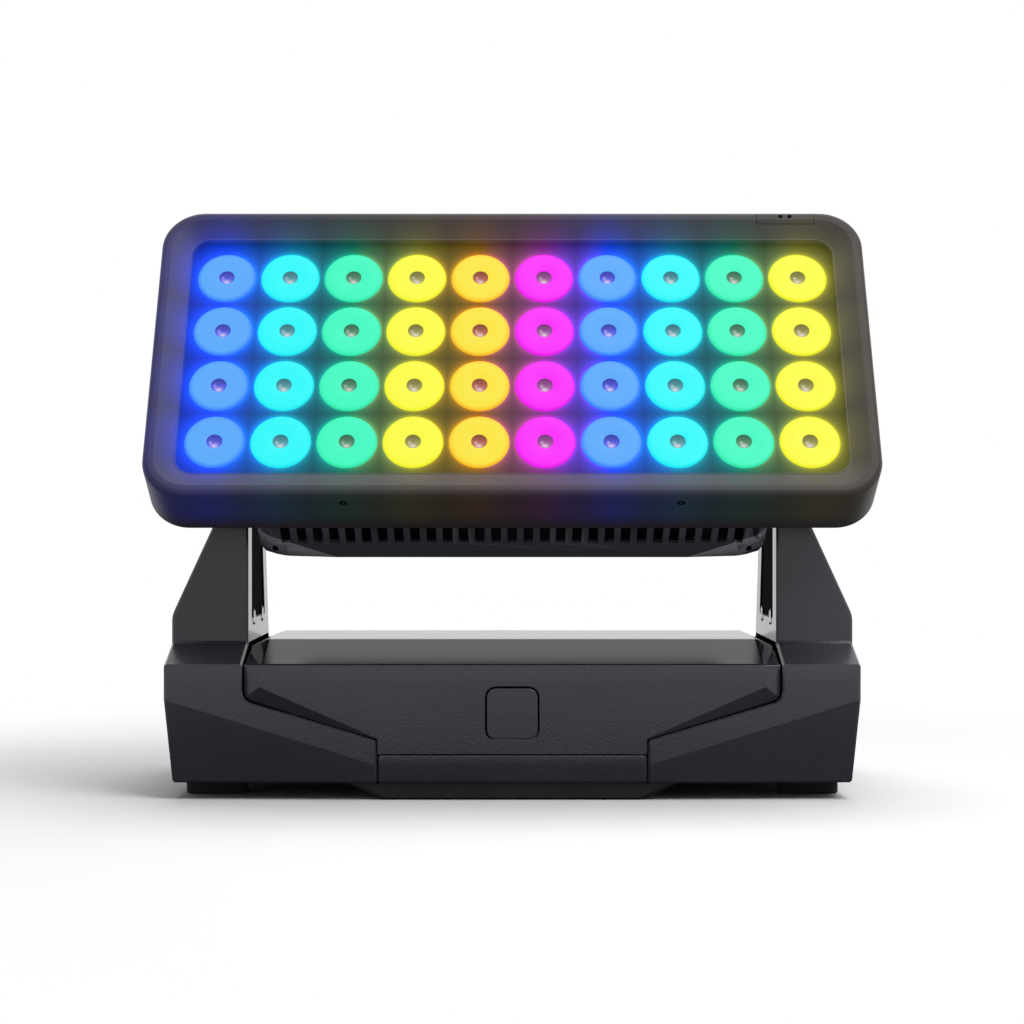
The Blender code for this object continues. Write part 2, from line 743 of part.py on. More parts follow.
def plane_cutter(name, points, inside, parent=None):
    """Cuts off what lies beyond the plane through three points, seen from a point inside the piece."""
    a, b, c = [Vector(point) for point in points]
    normal = (b - a).cross(c - a)
    if normal.dot(Vector(inside) - a) > 0:
        normal.negate()
    return half_space(name, a, normal, parent)


def chamfer_ends(panel, end):
    """The facet at each end of a panel, beside the end block."""
    face = end * HALF_DEPTH
    back = end * (HALF_DEPTH - PANEL_EDGE_DEPTH)
    for label, side in SIDES:
        x = side * (HALF_SPAN - PANEL_EDGE_CHAMFER)
        beside = ((x, face, 0), (x, face, TOP_HEIGHT), (side * HALF_SPAN, back, 0))
        combine(panel, plane_cutter(f"{panel.name}_{label}_end", beside, (0, 0, PAD_HEIGHT)))


def chamfer_wings(panel):
    """The long facets of the front panel, which widen along the wings towards its ends."""
    back = PANEL_EDGE_DEPTH - HALF_DEPTH
    for label, side in SIDES:
        outer = side * (HALF_SPAN - PANEL_EDGE_CHAMFER)
        inner = side * WING_INNER_X
        edge = side * HALF_SPAN
        along = (
            (outer, -HALF_DEPTH, wing_height(outer) + CHAMFER_OUTER_RISE),
            (inner, -HALF_DEPTH, wing_height(inner) + CHAMFER_INNER_RISE),
            (edge, back, wing_height(edge)),
        )
        combine(panel, plane_cutter(f"{panel.name}_{label}_wing", along, (0, 0, TOP_HEIGHT)))


def lower_facet(piece, end):
    """The level stretch of the lower facet, between the wings."""
    normal = (0, end * cos(LOWER_DRAFT), -sin(LOWER_DRAFT))
    combine(piece, half_space(piece.name + "_facet", (0, end * HALF_DEPTH, CREASE_HEIGHT), normal))


def make_front_panels():
    """Front panel with the pocket of its pad, and the separate strip below it."""
    face = -HALF_DEPTH
    back = face + PANEL_DEPTH
    corners = panel_corners(LOWER_PANEL_TOP + PANEL_GAP)
    front = prism("front_panel", rounded(corners, SHELL_STEPS), face, back, "Y", material=MOULDED)
    chamfer_ends(front, -1)
    chamfer_wings(front)
    bevel(front, EDGE_ROUND, 1)
    hollow = panel_hollow(corners)
    combine(front, prism("front_panel_hollow", hollow, face + 2 * SKIN, 0, "Y", cutter=True))
    half = PAD_SIZE / 2 + PAD_GROOVE
    groove = rectangle(half, half, PAD_CORNER + PAD_GROOVE, (0, PAD_HEIGHT))
    combine(front, prism("pad_pocket", groove, face - SKIN, face + PAD_POCKET, "Y", cutter=True))
    smooth(front)
    pad_outline = rectangle(PAD_SIZE / 2, PAD_SIZE / 2, PAD_CORNER, (0, PAD_HEIGHT))
    pad_back = face + PAD_POCKET - SEAT_GAP
    pad = prism("front_pad", pad_outline, face - PAD_PROUD, pad_back, "Y", material=MOULDED)
    smooth(bevel(pad, PAD_PROUD, 1))
    half = WING_INNER_X - PANEL_GAP
    middle = (BASE_UNDERSIDE + LOWER_PANEL_TOP) / 2
    strip_outline = rectangle(half, LOWER_PANEL_HEIGHT / 2, 0, (0, middle))
    strip = prism("lower_front_panel", strip_outline, face, back, "Y", material=MOULDED)
    lower_facet(strip, -1)
    bevel(strip, EDGE_ROUND, 1)


def socket_places():
    inner = SOCKET_INNER_X
    outer = SOCKET_INNER_X + SOCKET_STEP_X
    return (("power_inlet", inner), ("power_outlet", outer), ("data_inlet", -inner), ("data_outlet", -outer))


def button_places():
    middle = (BUTTON_COUNT - 1) / 2
    return [((i - middle) * BUTTON_SPACING, BUTTON_HEIGHT) for i in range(BUTTON_COUNT)]


def eye_places():
    half = EYE_WIDTH / 2
    return [(-half, EYE_HEIGHT), (half, EYE_HEIGHT)]


def make_rear_panel():
    """Rear panel with holes for the sockets, the window, the buttons and the safety eye."""
    face = HALF_DEPTH
    corners = panel_corners(BASE_UNDERSIDE)
    outline = rounded(corners, SHELL_STEPS)
    panel = prism("rear_panel", outline, face - PANEL_DEPTH, face, "Y", material=MOULDED)
    chamfer_ends(panel, 1)
    lower_facet(panel, 1)
    bevel(panel, EDGE_ROUND, 1)
    hollow = panel_hollow(corners)
    combine(panel, prism("rear_panel_hollow", hollow, 0, face - REAR_WALL, "Y", cutter=True))
    holes = (
        ("sockets", [(x, SOCKET_HEIGHT) for _, x in socket_places()], SOCKET_BARREL),
        ("buttons", button_places(), BUTTON_RADIUS),
        ("eye", eye_places(), EYE_ROD),
    )
    for name, places, radius in holes:
        depth = (face - 2 * PANEL_DEPTH, face + SKIN)
        hole = radius + SEAT_GAP
        cut = cylinders(name + "_holes", places, hole, *depth, "Y", SMALL_STEPS, cutter=True)
        combine(panel, cut)
    half = (WINDOW_WIDTH / 2 - WINDOW_LEDGE, WINDOW_HEIGHT / 2 - WINDOW_LEDGE)
    ledge = rectangle(*half, 0, (0, WINDOW_CENTRE))
    combine(panel, prism("window_hole", ledge, 0, face + SKIN, "Y", cutter=True))
    half = (WINDOW_WIDTH / 2 + SEAT_GAP, WINDOW_HEIGHT / 2 + SEAT_GAP)
    seat = rectangle(*half, 0, (0, WINDOW_CENTRE))
    seat_floor = face - WINDOW_THICKNESS - SEAT_GAP
    combine(panel, prism("window_seat", seat, seat_floor, face + SKIN, "Y", cutter=True))
    smooth(panel)
    pane = rectangle(WINDOW_WIDTH / 2, WINDOW_HEIGHT / 2, 0, (0, WINDOW_CENTRE))
    prism("display_window", pane, face - WINDOW_THICKNESS, face, "Y", material=WINDOW)


def make_sockets():
    """Panel sockets: a square flange outside, and a barrel through the panel with an open bore."""
    outer = HALF_DEPTH + SEAT_GAP
    lip = outer + SOCKET_FLANGE
    for name, x in socket_places():
        half = (SOCKET_FLANGE_WIDTH / 2, SOCKET_FLANGE_HEIGHT / 2)
        flange = rectangle(*half, SOCKET_CORNER, (x, SOCKET_HEIGHT), FEW_STEPS)
        socket = prism(name, flange, outer, lip, "Y", material=BLACK)
        place = [(x, SOCKET_HEIGHT)]
        depth = (HALF_DEPTH - SOCKET_BACK, outer + SOCKET_FLANGE / 2)
        barrel = cylinders(name + "_barrel", place, SOCKET_BARREL, *depth, "Y", SMALL_STEPS, cutter=True)
        combine(socket, barrel, "UNION")
        depth = (lip - SOCKET_BORE_DEPTH, lip + SKIN)
        bore = cylinders(name + "_bore", place, SOCKET_BORE, *depth, "Y", SMALL_STEPS, cutter=True)
        combine(socket, bore)
        smooth(socket)


def make_buttons():
    """Push buttons with a collar behind the panel; each slides in by its travel."""
    collar_back = HALF_DEPTH - REAR_WALL - SEAT_GAP
    for index, (x, z) in enumerate(button_places()):
        profile = [
            (0, BUTTON_PROUD),
            (BUTTON_RADIUS - BUTTON_EDGE, BUTTON_PROUD),
            (BUTTON_RADIUS, BUTTON_PROUD - BUTTON_EDGE),
            (BUTTON_RADIUS, collar_back - HALF_DEPTH),
            (BUTTON_RADIUS + BUTTON_FLANGE, collar_back - HALF_DEPTH),
            (BUTTON_RADIUS + BUTTON_FLANGE, collar_back - HALF_DEPTH - BUTTON_FLANGE),
            (0, collar_back - HALF_DEPTH - BUTTON_FLANGE),
        ]
        place = (x, HALF_DEPTH, z)
        smooth(turned(f"menu_button_{index + 1}", profile, SMALL_STEPS, "Y", place, material=RUBBER))


def make_safety_eye():
    """A bent steel rod whose two legs pass through the rear panel."""
    curve = bpy.data.curves.new("safety_eye", "CURVE")
    curve.dimensions = "3D"
    curve.bevel_depth = EYE_ROD
    curve.bevel_resolution = 1
    curve.use_fill_caps = True
    half = EYE_WIDTH / 2
    bend = HALF_DEPTH + EYE_REACH - half
    route = [(-half, HALF_DEPTH - PANEL_DEPTH), (-half, HALF_DEPTH)]
    for step in range(BEND_STEPS + 1):
        angle = pi - pi * step / BEND_STEPS
        route.append((half * cos(angle), bend + half * sin(angle)))
    route += [(half, HALF_DEPTH), (half, HALF_DEPTH - PANEL_DEPTH)]
    spline = curve.splines.new("POLY")
    spline.points.add(len(route) - 1)
    for point, (x, y) in zip(spline.points, route):
        point.co = (x, y, EYE_HEIGHT, 1)
    curve.materials.append(STEEL)
    eye = bpy.data.objects.new("safety_eye", curve)
    PARTS.objects.link(eye)


def make_underside():
    """Pan inside the foot of the shells, plate below it with four bracket holes, and the rubber feet."""
    half_x = HALF_WIDTH - SIDE_DRAFT - SKIN - PANEL_GAP
    drop = (crease_height(HALF_WIDTH) - BASE_UNDERSIDE) * tan(LOWER_DRAFT)
    half_y = HALF_DEPTH - SKIN - PANEL_GAP - drop
    floor = BASE_UNDERSIDE
    outline = rectangle(half_x, half_y, PAN_CORNER, steps=FEW_STEPS)
    pan = prism("base_pan", outline, floor, floor + PAN_WALL_HEIGHT, "Z", material=CASTING)
    pocket = inset(outline, SKIN)
    combine(pan, prism("pan_pocket", pocket, floor + SKIN, 2 * PAN_WALL_HEIGHT, "Z", cutter=True))
    rings = []
    for z, shrink in ((floor - SEAT_GAP, 0), (PLATE_CLEAR, 1)):
        half = (PLATE_WIDTH / 2 - shrink * PLATE_TAPER, PLATE_DEPTH / 2 - shrink * PLATE_END_TAPER)
        outline = rectangle(*half, PLATE_CORNER, steps=FEW_STEPS)
        rings.append([(x, y, z) for x, y in outline])
    plate = add("bottom_plate", loft_mesh("bottom_plate", rings), material=CASTING)
    places = [(x * BRACKET_SPACING_X / 2, y * BRACKET_SPACING_Y / 2) for x in (-1, 1) for y in (-1, 1)]
    cut = cylinders("bracket_holes", places, BRACKET_HOLE, -SKIN, floor, "Z", SMALL_STEPS, cutter=True)
    combine(plate, cut)
    x = HALF_WIDTH - FOOT_SIDE_SET_BACK - FOOT_WIDTH / 2
    y = HALF_DEPTH - FOOT_SET_BACK - FOOT_LENGTH / 2
    for label, side in SIDES:
        for end_label, end in (("front", -1), ("rear", 1)):
            centre = (side * x, end * y)
            rings = []
            for z, shrink in ((0, FOOT_TAPER), (FOOT_TAPER, 0), (floor - SEAT_GAP, 0)):
                half = (FOOT_WIDTH / 2 - shrink, FOOT_LENGTH / 2 - shrink)
                sole = rectangle(*half, FOOT_CORNER, centre, FEW_STEPS)
                rings.append([(a, b, z) for a, b in sole])
            name = f"{end_label}_{label}_foot"
            smooth(add(name, loft_mesh(name, rings), material=RUBBER))


def make_electronics():
    """Power supply with its cooling ribs, and the control board on four pillars behind the rear panel."""
    floor = BASE_UNDERSIDE + SKIN + SEAT_GAP
    top = floor + SUPPLY_HEIGHT
    base = top - SUPPLY_RIB_HEIGHT
    pitch = SUPPLY_WIDTH / SUPPLY_RIBS
    outline = [(-SUPPLY_WIDTH / 2, floor), (SUPPLY_WIDTH / 2, floor)]
    for rib in reversed(range(SUPPLY_RIBS)):
        y = -SUPPLY_WIDTH / 2 + rib * pitch
        groove = y + pitch / 2
        outline += [(y + pitch, top), (groove, top), (groove, base), (y, base)]
    ends = (SUPPLY_X - SUPPLY_LENGTH / 2, SUPPLY_X + SUPPLY_LENGTH / 2)
    prism("power_supply", outline, *ends, "X", material=ALLOY)
    front = HALF_DEPTH - PANEL_DEPTH - BOARD
    inside = HALF_DEPTH - REAR_WALL
    middle = (LOWER_PANEL_TOP + SHOULDER_HEIGHT) / 2
    half = (CONTROL_LENGTH / 2, CONTROL_HEIGHT / 2)
    board_outline = rectangle(*half, 0, (0, middle))
    board = prism("control_board", board_outline, front - BOARD, front, "Y", material=BOARD_GREEN)
    reach = inside - BUTTON_FLANGE - BUTTON_TRAVEL - RUN_GAP - SEAT_GAP
    screen = (WINDOW_WIDTH / 2 - 2 * WINDOW_LEDGE, WINDOW_HEIGHT / 2 - 2 * WINDOW_LEDGE)
    switch = SWITCH_SIZE / 2
    fitted = [
        (
            (-screen[0], front - BOARD / 2, WINDOW_CENTRE - screen[1]),
            (screen[0], HALF_DEPTH - WINDOW_THICKNESS - RUN_GAP, WINDOW_CENTRE + screen[1]),
        )
    ]
    for x, z in button_places():
        fitted.append(((x - switch, front - BOARD / 2, z - switch), (x + switch, reach, z + switch)))
    pillar = CONTROL_PILLAR / 2
    for x in (-half[0] + CONTROL_PILLAR, half[0] - CONTROL_PILLAR):
        low = (x - pillar, front - BOARD / 2, middle - pillar)
        fitted.append((low, (x + pillar, inside - SEAT_GAP, middle + pillar)))
    combine(board, blocks("control_board_parts", fitted, cutter=True), "UNION")


# Tilt drive


def mirror_profile(profile, side):
    """A turned profile for the other side keeps its outer side running downwards."""
    return [(r, side * a) for r, a in (profile if side > 0 else reversed(profile))]


def belt_outline(extra):
    """Loop round both pulleys, as (Y, Z): two arcs and the straight runs tangent to them."""
    motor = Vector((PIVOT.y, MOTOR_HEIGHT))
    head = Vector((PIVOT.y, PIVOT.z))
    away = motor - head
    aim = atan2(away.y, away.x)
    spread = acos((HEAD_PULLEY_RADIUS - MOTOR_PULLEY_RADIUS) / away.length)
    outline = []
    for centre, radius, start, sweep in (
        (head, HEAD_PULLEY_RADIUS + extra, aim + spread, 2 * (pi - spread)),
        (motor, MOTOR_PULLEY_RADIUS + extra, aim - spread, 2 * spread),
    ):
        for step in range(BELT_STEPS + 1):
            angle = start + sweep * step / BELT_STEPS
            outline.append(tuple(centre + radius * Vector((cos(angle), sin(angle)))))
    return outline


def pulley_profile(radius, bore):
    """Belt pulley with a thin flange at each side."""
    flange = radius + PULLEY_FLANGE
    rim = PULLEY_FLANGE_THICKNESS
    width = PULLEY_WIDTH
    return [
        (bore, width), (flange, width), (flange, width - rim), (radius, width - rim),
        (radius, rim), (flange, rim), (flange, 0), (bore, 0),
    ]


def make_motor():
    """Tilt motor in the right end block, the bracket that carries it, its shaft pulley and the belt."""
    face = PULLEY_X - MOTOR_BRACKET - 3 * RUN_GAP
    motor_face = face - SEAT_GAP
    centre = (PIVOT.y, MOTOR_HEIGHT)
    square = rectangle(MOTOR_SIZE / 2, MOTOR_SIZE / 2, MOTOR_CORNER, centre, FEW_STEPS)
    motor = prism("tilt_motor", square, motor_face - MOTOR_LENGTH, motor_face, "X", material=CASTING)
    axle = [(PIVOT.y, MOTOR_HEIGHT)]
    shaft_start = motor_face - MOTOR_LENGTH / 4
    hole = MOTOR_SHAFT + RUN_GAP
    combine(motor, cylinders("motor_bore", axle, hole, shaft_start, PULLEY_X, "X", SMALL_STEPS, cutter=True))
    floor = BASE_UNDERSIDE + SKIN + SEAT_GAP
    top = MOTOR_HEIGHT + MOTOR_SIZE / 2
    foot = face - MOTOR_LENGTH / 2
    outline = [
        (face + MOTOR_BRACKET, floor),
        (face + MOTOR_BRACKET, top),
        (face, top),
        (face, floor + MOTOR_BRACKET),
        (foot, floor + MOTOR_BRACKET),
        (foot, floor),
    ]
    ends = (PIVOT.y - MOTOR_SIZE / 2, PIVOT.y + MOTOR_SIZE / 2)
    bracket = prism("motor_bracket", outline, *ends, "Y", material=STEEL)
    depth = (face - SKIN, face + MOTOR_BRACKET + SKIN)
    hole = MOTOR_SHAFT + 2 * RUN_GAP
    combine(bracket, cylinders("bracket_hole", axle, hole, *depth, "X", SMALL_STEPS, cutter=True))
    profile = pulley_profile(MOTOR_PULLEY_RADIUS, 0)
    shaft_end = shaft_start + RUN_GAP - PULLEY_X
    profile[-1:] = [(MOTOR_SHAFT, 0), (MOTOR_SHAFT, shaft_end), (0, shaft_end)]
    place = (PULLEY_X, PIVOT.y, MOTOR_HEIGHT)
    smooth(turned("motor_pulley", profile, SMALL_STEPS, "X", place, material=STEEL))
    middle = PULLEY_X + PULLEY_WIDTH / 2
    ends = (middle - BELT_WIDTH / 2, middle + BELT_WIDTH / 2)
    outer = belt_outline(SEAT_GAP + BELT_THICKNESS)
    belt = prism("tilt_belt", outer, *ends, "X", material=RUBBER)
    inner = prism("belt_inside", belt_outline(SEAT_GAP), ends[0] - SKIN, ends[1] + SKIN, "X", cutter=True)
    combine(belt, inner)


def make_bearings():
    for label, side in SIDES:
        profile = mirror_profile(
            [
                (BEARING_RADIUS, BEARING_WIDTH), (BEARING_RADIUS, 0),
                (SHAFT_RADIUS + SEAT_GAP, 0), (SHAFT_RADIUS + SEAT_GAP, BEARING_WIDTH),
            ],
            side,
        )
        place = (side * BEARING_X, PIVOT.y, PIVOT.z)
        smooth(turned(label + "_bearing", profile, ROUND_STEPS, "X", place, material=STEEL))


# Head: everything below is placed from the pivot, with the lit face towards -Y


def make_head_pivot():
    """The empty on the tilt axis that carries the head at its rest angle."""
    pivot = bpy.data.objects.new("head_pivot", None)
    PARTS.objects.link(pivot)
    pivot.location = PIVOT
    pivot.rotation_euler = (-REST_ELEVATION, 0, 0)
    return pivot


def behind_rim(depth):
    """A depth behind the plane of the rim, as the head's own Y."""
    return depth - PIVOT_BEHIND_RIM


def frame_outline(step_in):
    """The frame's rounded outline moved in: its corners lose less radius than its sides move."""
    corner = FRAME_CORNER - CORNER_SHRINK * step_in
    return rectangle(HEAD_WIDTH / 2 - step_in, HEAD_HEIGHT / 2 - step_in, corner, steps=FRAME_STEPS)


def frame_ring(step_in, depth):
    return [(x, behind_rim(depth), z) for x, z in frame_outline(step_in)]


def tab_outline(lift, floor, margin):
    """The sensor cover from the side, as the head's own (Y, Z): bent over the rim strip into the funnel."""
    start = TAB_START - margin
    end = TAB_END + margin
    slope = (FUNNEL_DEPTH - RIM_FALL) / FUNNEL_WIDTH
    surface = (
        (start, RIM_EDGE * (RIM_SIDE - start) / (RIM_SIDE - RIM_EDGE)),
        (RIM_SIDE, 0),
        (RIM_STRIP, RIM_FALL),
        (end, RIM_FALL + (end - RIM_STRIP) * slope),
    )
    outer = [(behind_rim(depth - lift), HEAD_HEIGHT / 2 - step_in) for step_in, depth in surface]
    inner = [(behind_rim(depth + floor), HEAD_HEIGHT / 2 - step_in) for step_in, depth in surface]
    return outer + inner[::-1]


def make_front_frame(pivot):
    """Front frame: rounded rim, funnel down to the lip round the lenses, and the outer wall."""
    lip = RIM_STRIP + FUNNEL_WIDTH + LIP_WIDTH
    section = [
        (RIM_EDGE, FRAME_DEPTH),
        (0, FRAME_DEPTH - RIM_EDGE),
        (0, RIM_SIDE),
        (RIM_EDGE, RIM_EDGE),
        (RIM_SIDE, 0),
        (RIM_STRIP, RIM_FALL),
        (RIM_STRIP + FUNNEL_WIDTH, FUNNEL_DEPTH),
        (lip, FUNNEL_DEPTH + LIP_WIDTH),
        (lip, LIP_DEPTH),
        (lip - FRAME_WALL, LIP_DEPTH),
        (lip - FRAME_WALL, FUNNEL_DEPTH + FRAME_WALL),
        (RIM_STRIP, RIM_FALL + 2 * TAB_SEAT),
        (FRAME_WALL, RIM_INNER_DEPTH),
        (FRAME_WALL, FRAME_DEPTH),
    ]
    rings = [frame_ring(step_in, depth) for step_in, depth in section]
    frame = add("front_frame", loft_mesh("front_frame", rings, True), material=SATIN, parent=pivot)
    half = TAB_WIDTH / 2 + SEAT_GAP
    seat = tab_outline(SKIN, TAB_SEAT, SEAT_GAP)
    combine(frame, prism("tab_seat", seat, TAB_X - half, TAB_X + half, "X", parent=pivot, cutter=True))
    smooth(frame)
    tab = tab_outline(TAB_PROUD, TAB_SEAT - SEAT_GAP, 0)
    ends = (TAB_X - TAB_WIDTH / 2, TAB_X + TAB_WIDTH / 2)
    prism("sensor_cover", tab, *ends, "X", material=MOULDED, parent=pivot)


def lens_rows():
    return [(row - (LENS_ROWS - 1) / 2) * LENS_ROW_PITCH for row in range(LENS_ROWS)]


def lens_column_x(column):
    return (column - (LENS_COLUMNS - 1) / 2) * LENS_PITCH


def lens_column_mesh(pivot):
    """Four lenses moulded on one web: a disc with a dimple in front and a collimator cone behind each."""
    web_front = LENS_PLATE_SET_BACK + LENS_PLATE + SEAT_GAP
    web_back = web_front + WEB_THICKNESS
    half_x = LENS_DIAMETER / 2 + WEB_MARGIN
    half_z = lens_rows()[-1] + half_x
    depths = (behind_rim(web_front), behind_rim(web_back))
    column = prism("lens_column", rectangle(half_x, half_z), *depths, "Y", parent=pivot)
    places = [(0, z) for z in lens_rows()]
    overlap = WEB_THICKNESS / 2
    hidden = {"parent": pivot, "cutter": True}
    radius = LENS_DIAMETER / 2
    depths = (behind_rim(LENS_SET_BACK), behind_rim(web_back - overlap))
    combine(column, cylinders("lens_discs", places, radius, *depths, "Y", LENS_STEPS, **hidden), "UNION")
    depths = (behind_rim(web_back - overlap), behind_rim(LED_BOARD_FRONT - EMITTER_HEIGHT - RUN_GAP))
    mouth = COLLIMATOR_BACK
    wide = radius - WEB_MARGIN
    combine(column, cylinders("lens_cones", places, mouth, *depths, "Y", CONE_STEPS, wide, **hidden), "UNION")
    depths = (behind_rim(LENS_SET_BACK - DIMPLE_DEPTH), behind_rim(LENS_SET_BACK + DIMPLE_DEPTH))
    floor = DIMPLE_DIAMETER / 2 - DIMPLE_TAPER
    wide = DIMPLE_DIAMETER / 2 + DIMPLE_TAPER
    combine(column, cylinders("lens_dimples", places, floor, *depths, "Y", DIMPLE_STEPS, wide, **hidden))
    bpy.context.view_layer.update()
    solid = column.evaluated_get(bpy.context.evaluated_depsgraph_get())
    mesh = bpy.data.meshes.new_from_object(solid)
    bpy.data.objects.remove(column, do_unlink=True)
    mesh.shade_smooth()
    mesh.set_sharp_from_angle(angle=radians(35))
    return mesh


def make_lenses(pivot):
    """Ten columns of lenses, each lit in one colour, and the black plate that they look through."""
    colours = [finish(f"lit_lens_{code}", code, 0.25, glow=1.0) for code in LENS_COLOURS]
    mesh = lens_column_mesh(pivot)
    mesh.materials.clear()
    mesh.materials.append(None)
    for index, colour in enumerate(LENS_ORDER):
        column = add(f"lens_column_{index + 1:02d}", mesh, parent=pivot)
        column.location.x = lens_column_x(index)
        column.material_slots[0].link = "OBJECT"
        column.material_slots[0].material = colours[colour]
    lip = RIM_STRIP + FUNNEL_WIDTH + LIP_WIDTH - FRAME_WALL + SEAT_GAP
    depths = (behind_rim(LENS_PLATE_SET_BACK), behind_rim(LENS_PLATE_SET_BACK + LENS_PLATE))
    plate = prism("lens_plate", frame_outline(lip), *depths, "Y", material=BLACK, parent=pivot)
    places = [(lens_column_x(column), z) for column in range(LENS_COLUMNS) for z in lens_rows()]
    depths = (depths[0] - SKIN, depths[1] + SKIN)
    hole = LENS_DIAMETER / 2 + LENS_CLEARANCE
    holes = cylinders("lens_holes", places, hole, *depths, "Y", LENS_STEPS, parent=pivot, cutter=True)
    combine(plate, holes)


def make_light_engine(pivot):
    """LED board behind the lenses, the ribbed heat sink that it lies on, and what holds them in the frame."""
    half = (lens_column_x(LENS_COLUMNS - 1) + LENS_DIAMETER / 2, lens_rows()[-1] + LENS_DIAMETER / 2)
    depths = (behind_rim(LED_BOARD_FRONT), behind_rim(LED_BOARD_FRONT + BOARD))
    prism("led_board", rectangle(*half), *depths, "Y", material=BOARD_GREEN, parent=pivot)
    outline = rectangle(half[0] + SINK_MARGIN, half[1] + SINK_MARGIN, SINK_CORNER, steps=FEW_STEPS)
    depths = (behind_rim(SINK_FACE), behind_rim(SINK_FACE + SINK_PLATE))
    sink = prism("heat_sink", outline, *depths, "Y", material=ALLOY, parent=pivot)
    fins = []
    for index in range(FIN_COUNT):
        x = (index - (FIN_COUNT - 1) / 2) * FIN_PITCH
        low = (x - FIN_THICKNESS / 2, depths[1] - SINK_PLATE / 2, -FIN_HEIGHT / 2)
        fins.append((low, (x + FIN_THICKNESS / 2, depths[1] + FIN_LENGTH, FIN_HEIGHT / 2)))
    combine(sink, blocks("fins", fins, parent=pivot, cutter=True), "UNION")
    gasket_y = depths[1] + SEAT_GAP
    outer = inset(outline, 2 * PANEL_GAP)
    gasket = prism("head_gasket", outer, gasket_y, gasket_y + GASKET, "Y", material=RUBBER, parent=pivot)
    inner = inset(outer, GASKET_WIDTH)
    cut = prism("gasket_inside", inner, gasket_y - SKIN, gasket_y + SKIN, "Y", parent=pivot, cutter=True)
    combine(gasket, cut)
    chassis_y = gasket_y + GASKET + SEAT_GAP
    depths = (chassis_y, behind_rim(FRAME_DEPTH) - SEAT_GAP)
    outline = frame_outline(FRAME_WALL + SEAT_GAP)
    chassis = prism("head_chassis", outline, *depths, "Y", material=CASTING, parent=pivot)
    opening = rectangle(FIN_COUNT * FIN_PITCH / 2, FIN_HEIGHT / 2 + SKIN, 0)
    depths = (chassis_y - SKIN, behind_rim(FRAME_DEPTH) + SKIN)
    combine(chassis, prism("chassis_opening", opening, *depths, "Y", parent=pivot, cutter=True))


def corner_facets(piece, pivot, shrink):
    """Slanting facets at the four rear corners of the casing, drawn in by the shrink."""
    start = CASING_WIDTH / 2 - CORNER_FACET_START
    for label, side in SIDES:
        for end in (-1, 1):
            rise = end * (CASING_HEIGHT / 2 - shrink)
            points = (
                (side * start, behind_rim(CASING_END), rise),
                (side * (start + CORNER_FACET_ALONG), behind_rim(CASING_END - CORNER_FACET_DEEP), rise),
                (side * (start + CORNER_FACET_ALONG), behind_rim(CASING_END), rise - end * CORNER_FACET_RISE),
            )
            name = f"{piece.name}_{label}_{end}"
            combine(piece, plane_cutter(name, points, (0, 0, 0), pivot))


def make_casing(pivot):
    """Casing round the heat sink, with a row of air slots in its lower and upper walls."""
    outline = rectangle(CASING_WIDTH / 2, CASING_HEIGHT / 2, CASING_CORNER, steps=SHELL_STEPS)
    depths = (behind_rim(FRAME_DEPTH), behind_rim(CASING_END))
    casing = prism("head_casing", outline, *depths, "Y", material=MOULDED, parent=pivot)
    corner_facets(casing, pivot, 0)
    inner = inset(outline, CASING_WALL)
    core = prism("casing_core", inner, depths[0] - SKIN, depths[1] + SKIN, "Y", parent=pivot, cutter=True)
    corner_facets(core, pivot, CASING_WALL)
    combine(casing, core)
    slots = []
    for count, pitch, wall in ((VENT_COUNT, VENT_PITCH, -1), (TOP_VENT_COUNT, TOP_VENT_PITCH, 1)):
        low_z, high_z = sorted((0, wall * CASING_HEIGHT))
        half = VENT_WIDTH / 2
        for index in range(count):
            x = (index - (count - 1) / 2) * pitch
            low = (x - half, behind_rim(VENT_START), low_z)
            slots.append((low, (x + half, behind_rim(VENT_END), high_z)))
    combine(casing, blocks("air_slots", slots, parent=pivot, cutter=True))
    smooth(casing)


def tub_rings(shrink, front, rear):
    """Rear cover from its rim to its back, drawn in by the shrink."""
    sections = (
        (CASING_WIDTH / 2, CASING_HEIGHT / 2, front),
        (REAR_WIDTH / 2 + SKIN, REAR_HEIGHT / 2 + SKIN, rear - SKIN),
        (REAR_WIDTH / 2, REAR_HEIGHT / 2, rear),
    )
    rings = []
    for half_x, half_z, depth in sections:
        outline = rectangle(half_x - shrink, half_z - shrink, CASING_CORNER, steps=SHELL_STEPS)
        rings.append([(x, behind_rim(depth), z) for x, z in outline])
    return rings


def make_rear_cover(pivot):
    """Rear cover: a tapered tub with a round field of air slots behind each fan."""
    front = CASING_END + SEAT_GAP
    outer = loft_mesh("rear_cover", tub_rings(0, front, REAR_END))
    cover = add("rear_cover", outer, material=MOULDED, parent=pivot)
    corner_facets(cover, pivot, 0)
    inside = loft_mesh("rear_cover_core", tub_rings(CASING_WALL, front - SEAT_GAP, REAR_END - CASING_WALL))
    core = add("rear_cover_core", inside, parent=pivot, cutter=True)
    corner_facets(core, pivot, CASING_WALL)
    combine(cover, core)
    slots = []
    count = int(FAN_BORE / GRILLE_PITCH)
    for x in fan_places():
        for row in range(-count, count + 1):
            z = row * GRILLE_PITCH
            reach = sqrt(FAN_BORE**2 - z**2) - GRILLE_SLOT / 2
            low = (x - reach, behind_rim(REAR_END - 2 * CASING_WALL), z - GRILLE_SLOT / 2)
            slots.append((low, (x + reach, behind_rim(REAR_END + SKIN), z + GRILLE_SLOT / 2)))
    slots = [slot for slot in slots if slot[1][0] - slot[0][0] > GRILLE_SLOT]
    combine(cover, blocks("grille_slots", slots, parent=pivot, cutter=True))
    smooth(cover)


def fan_places():
    return (-FAN_SPACING / 2, FAN_SPACING / 2)


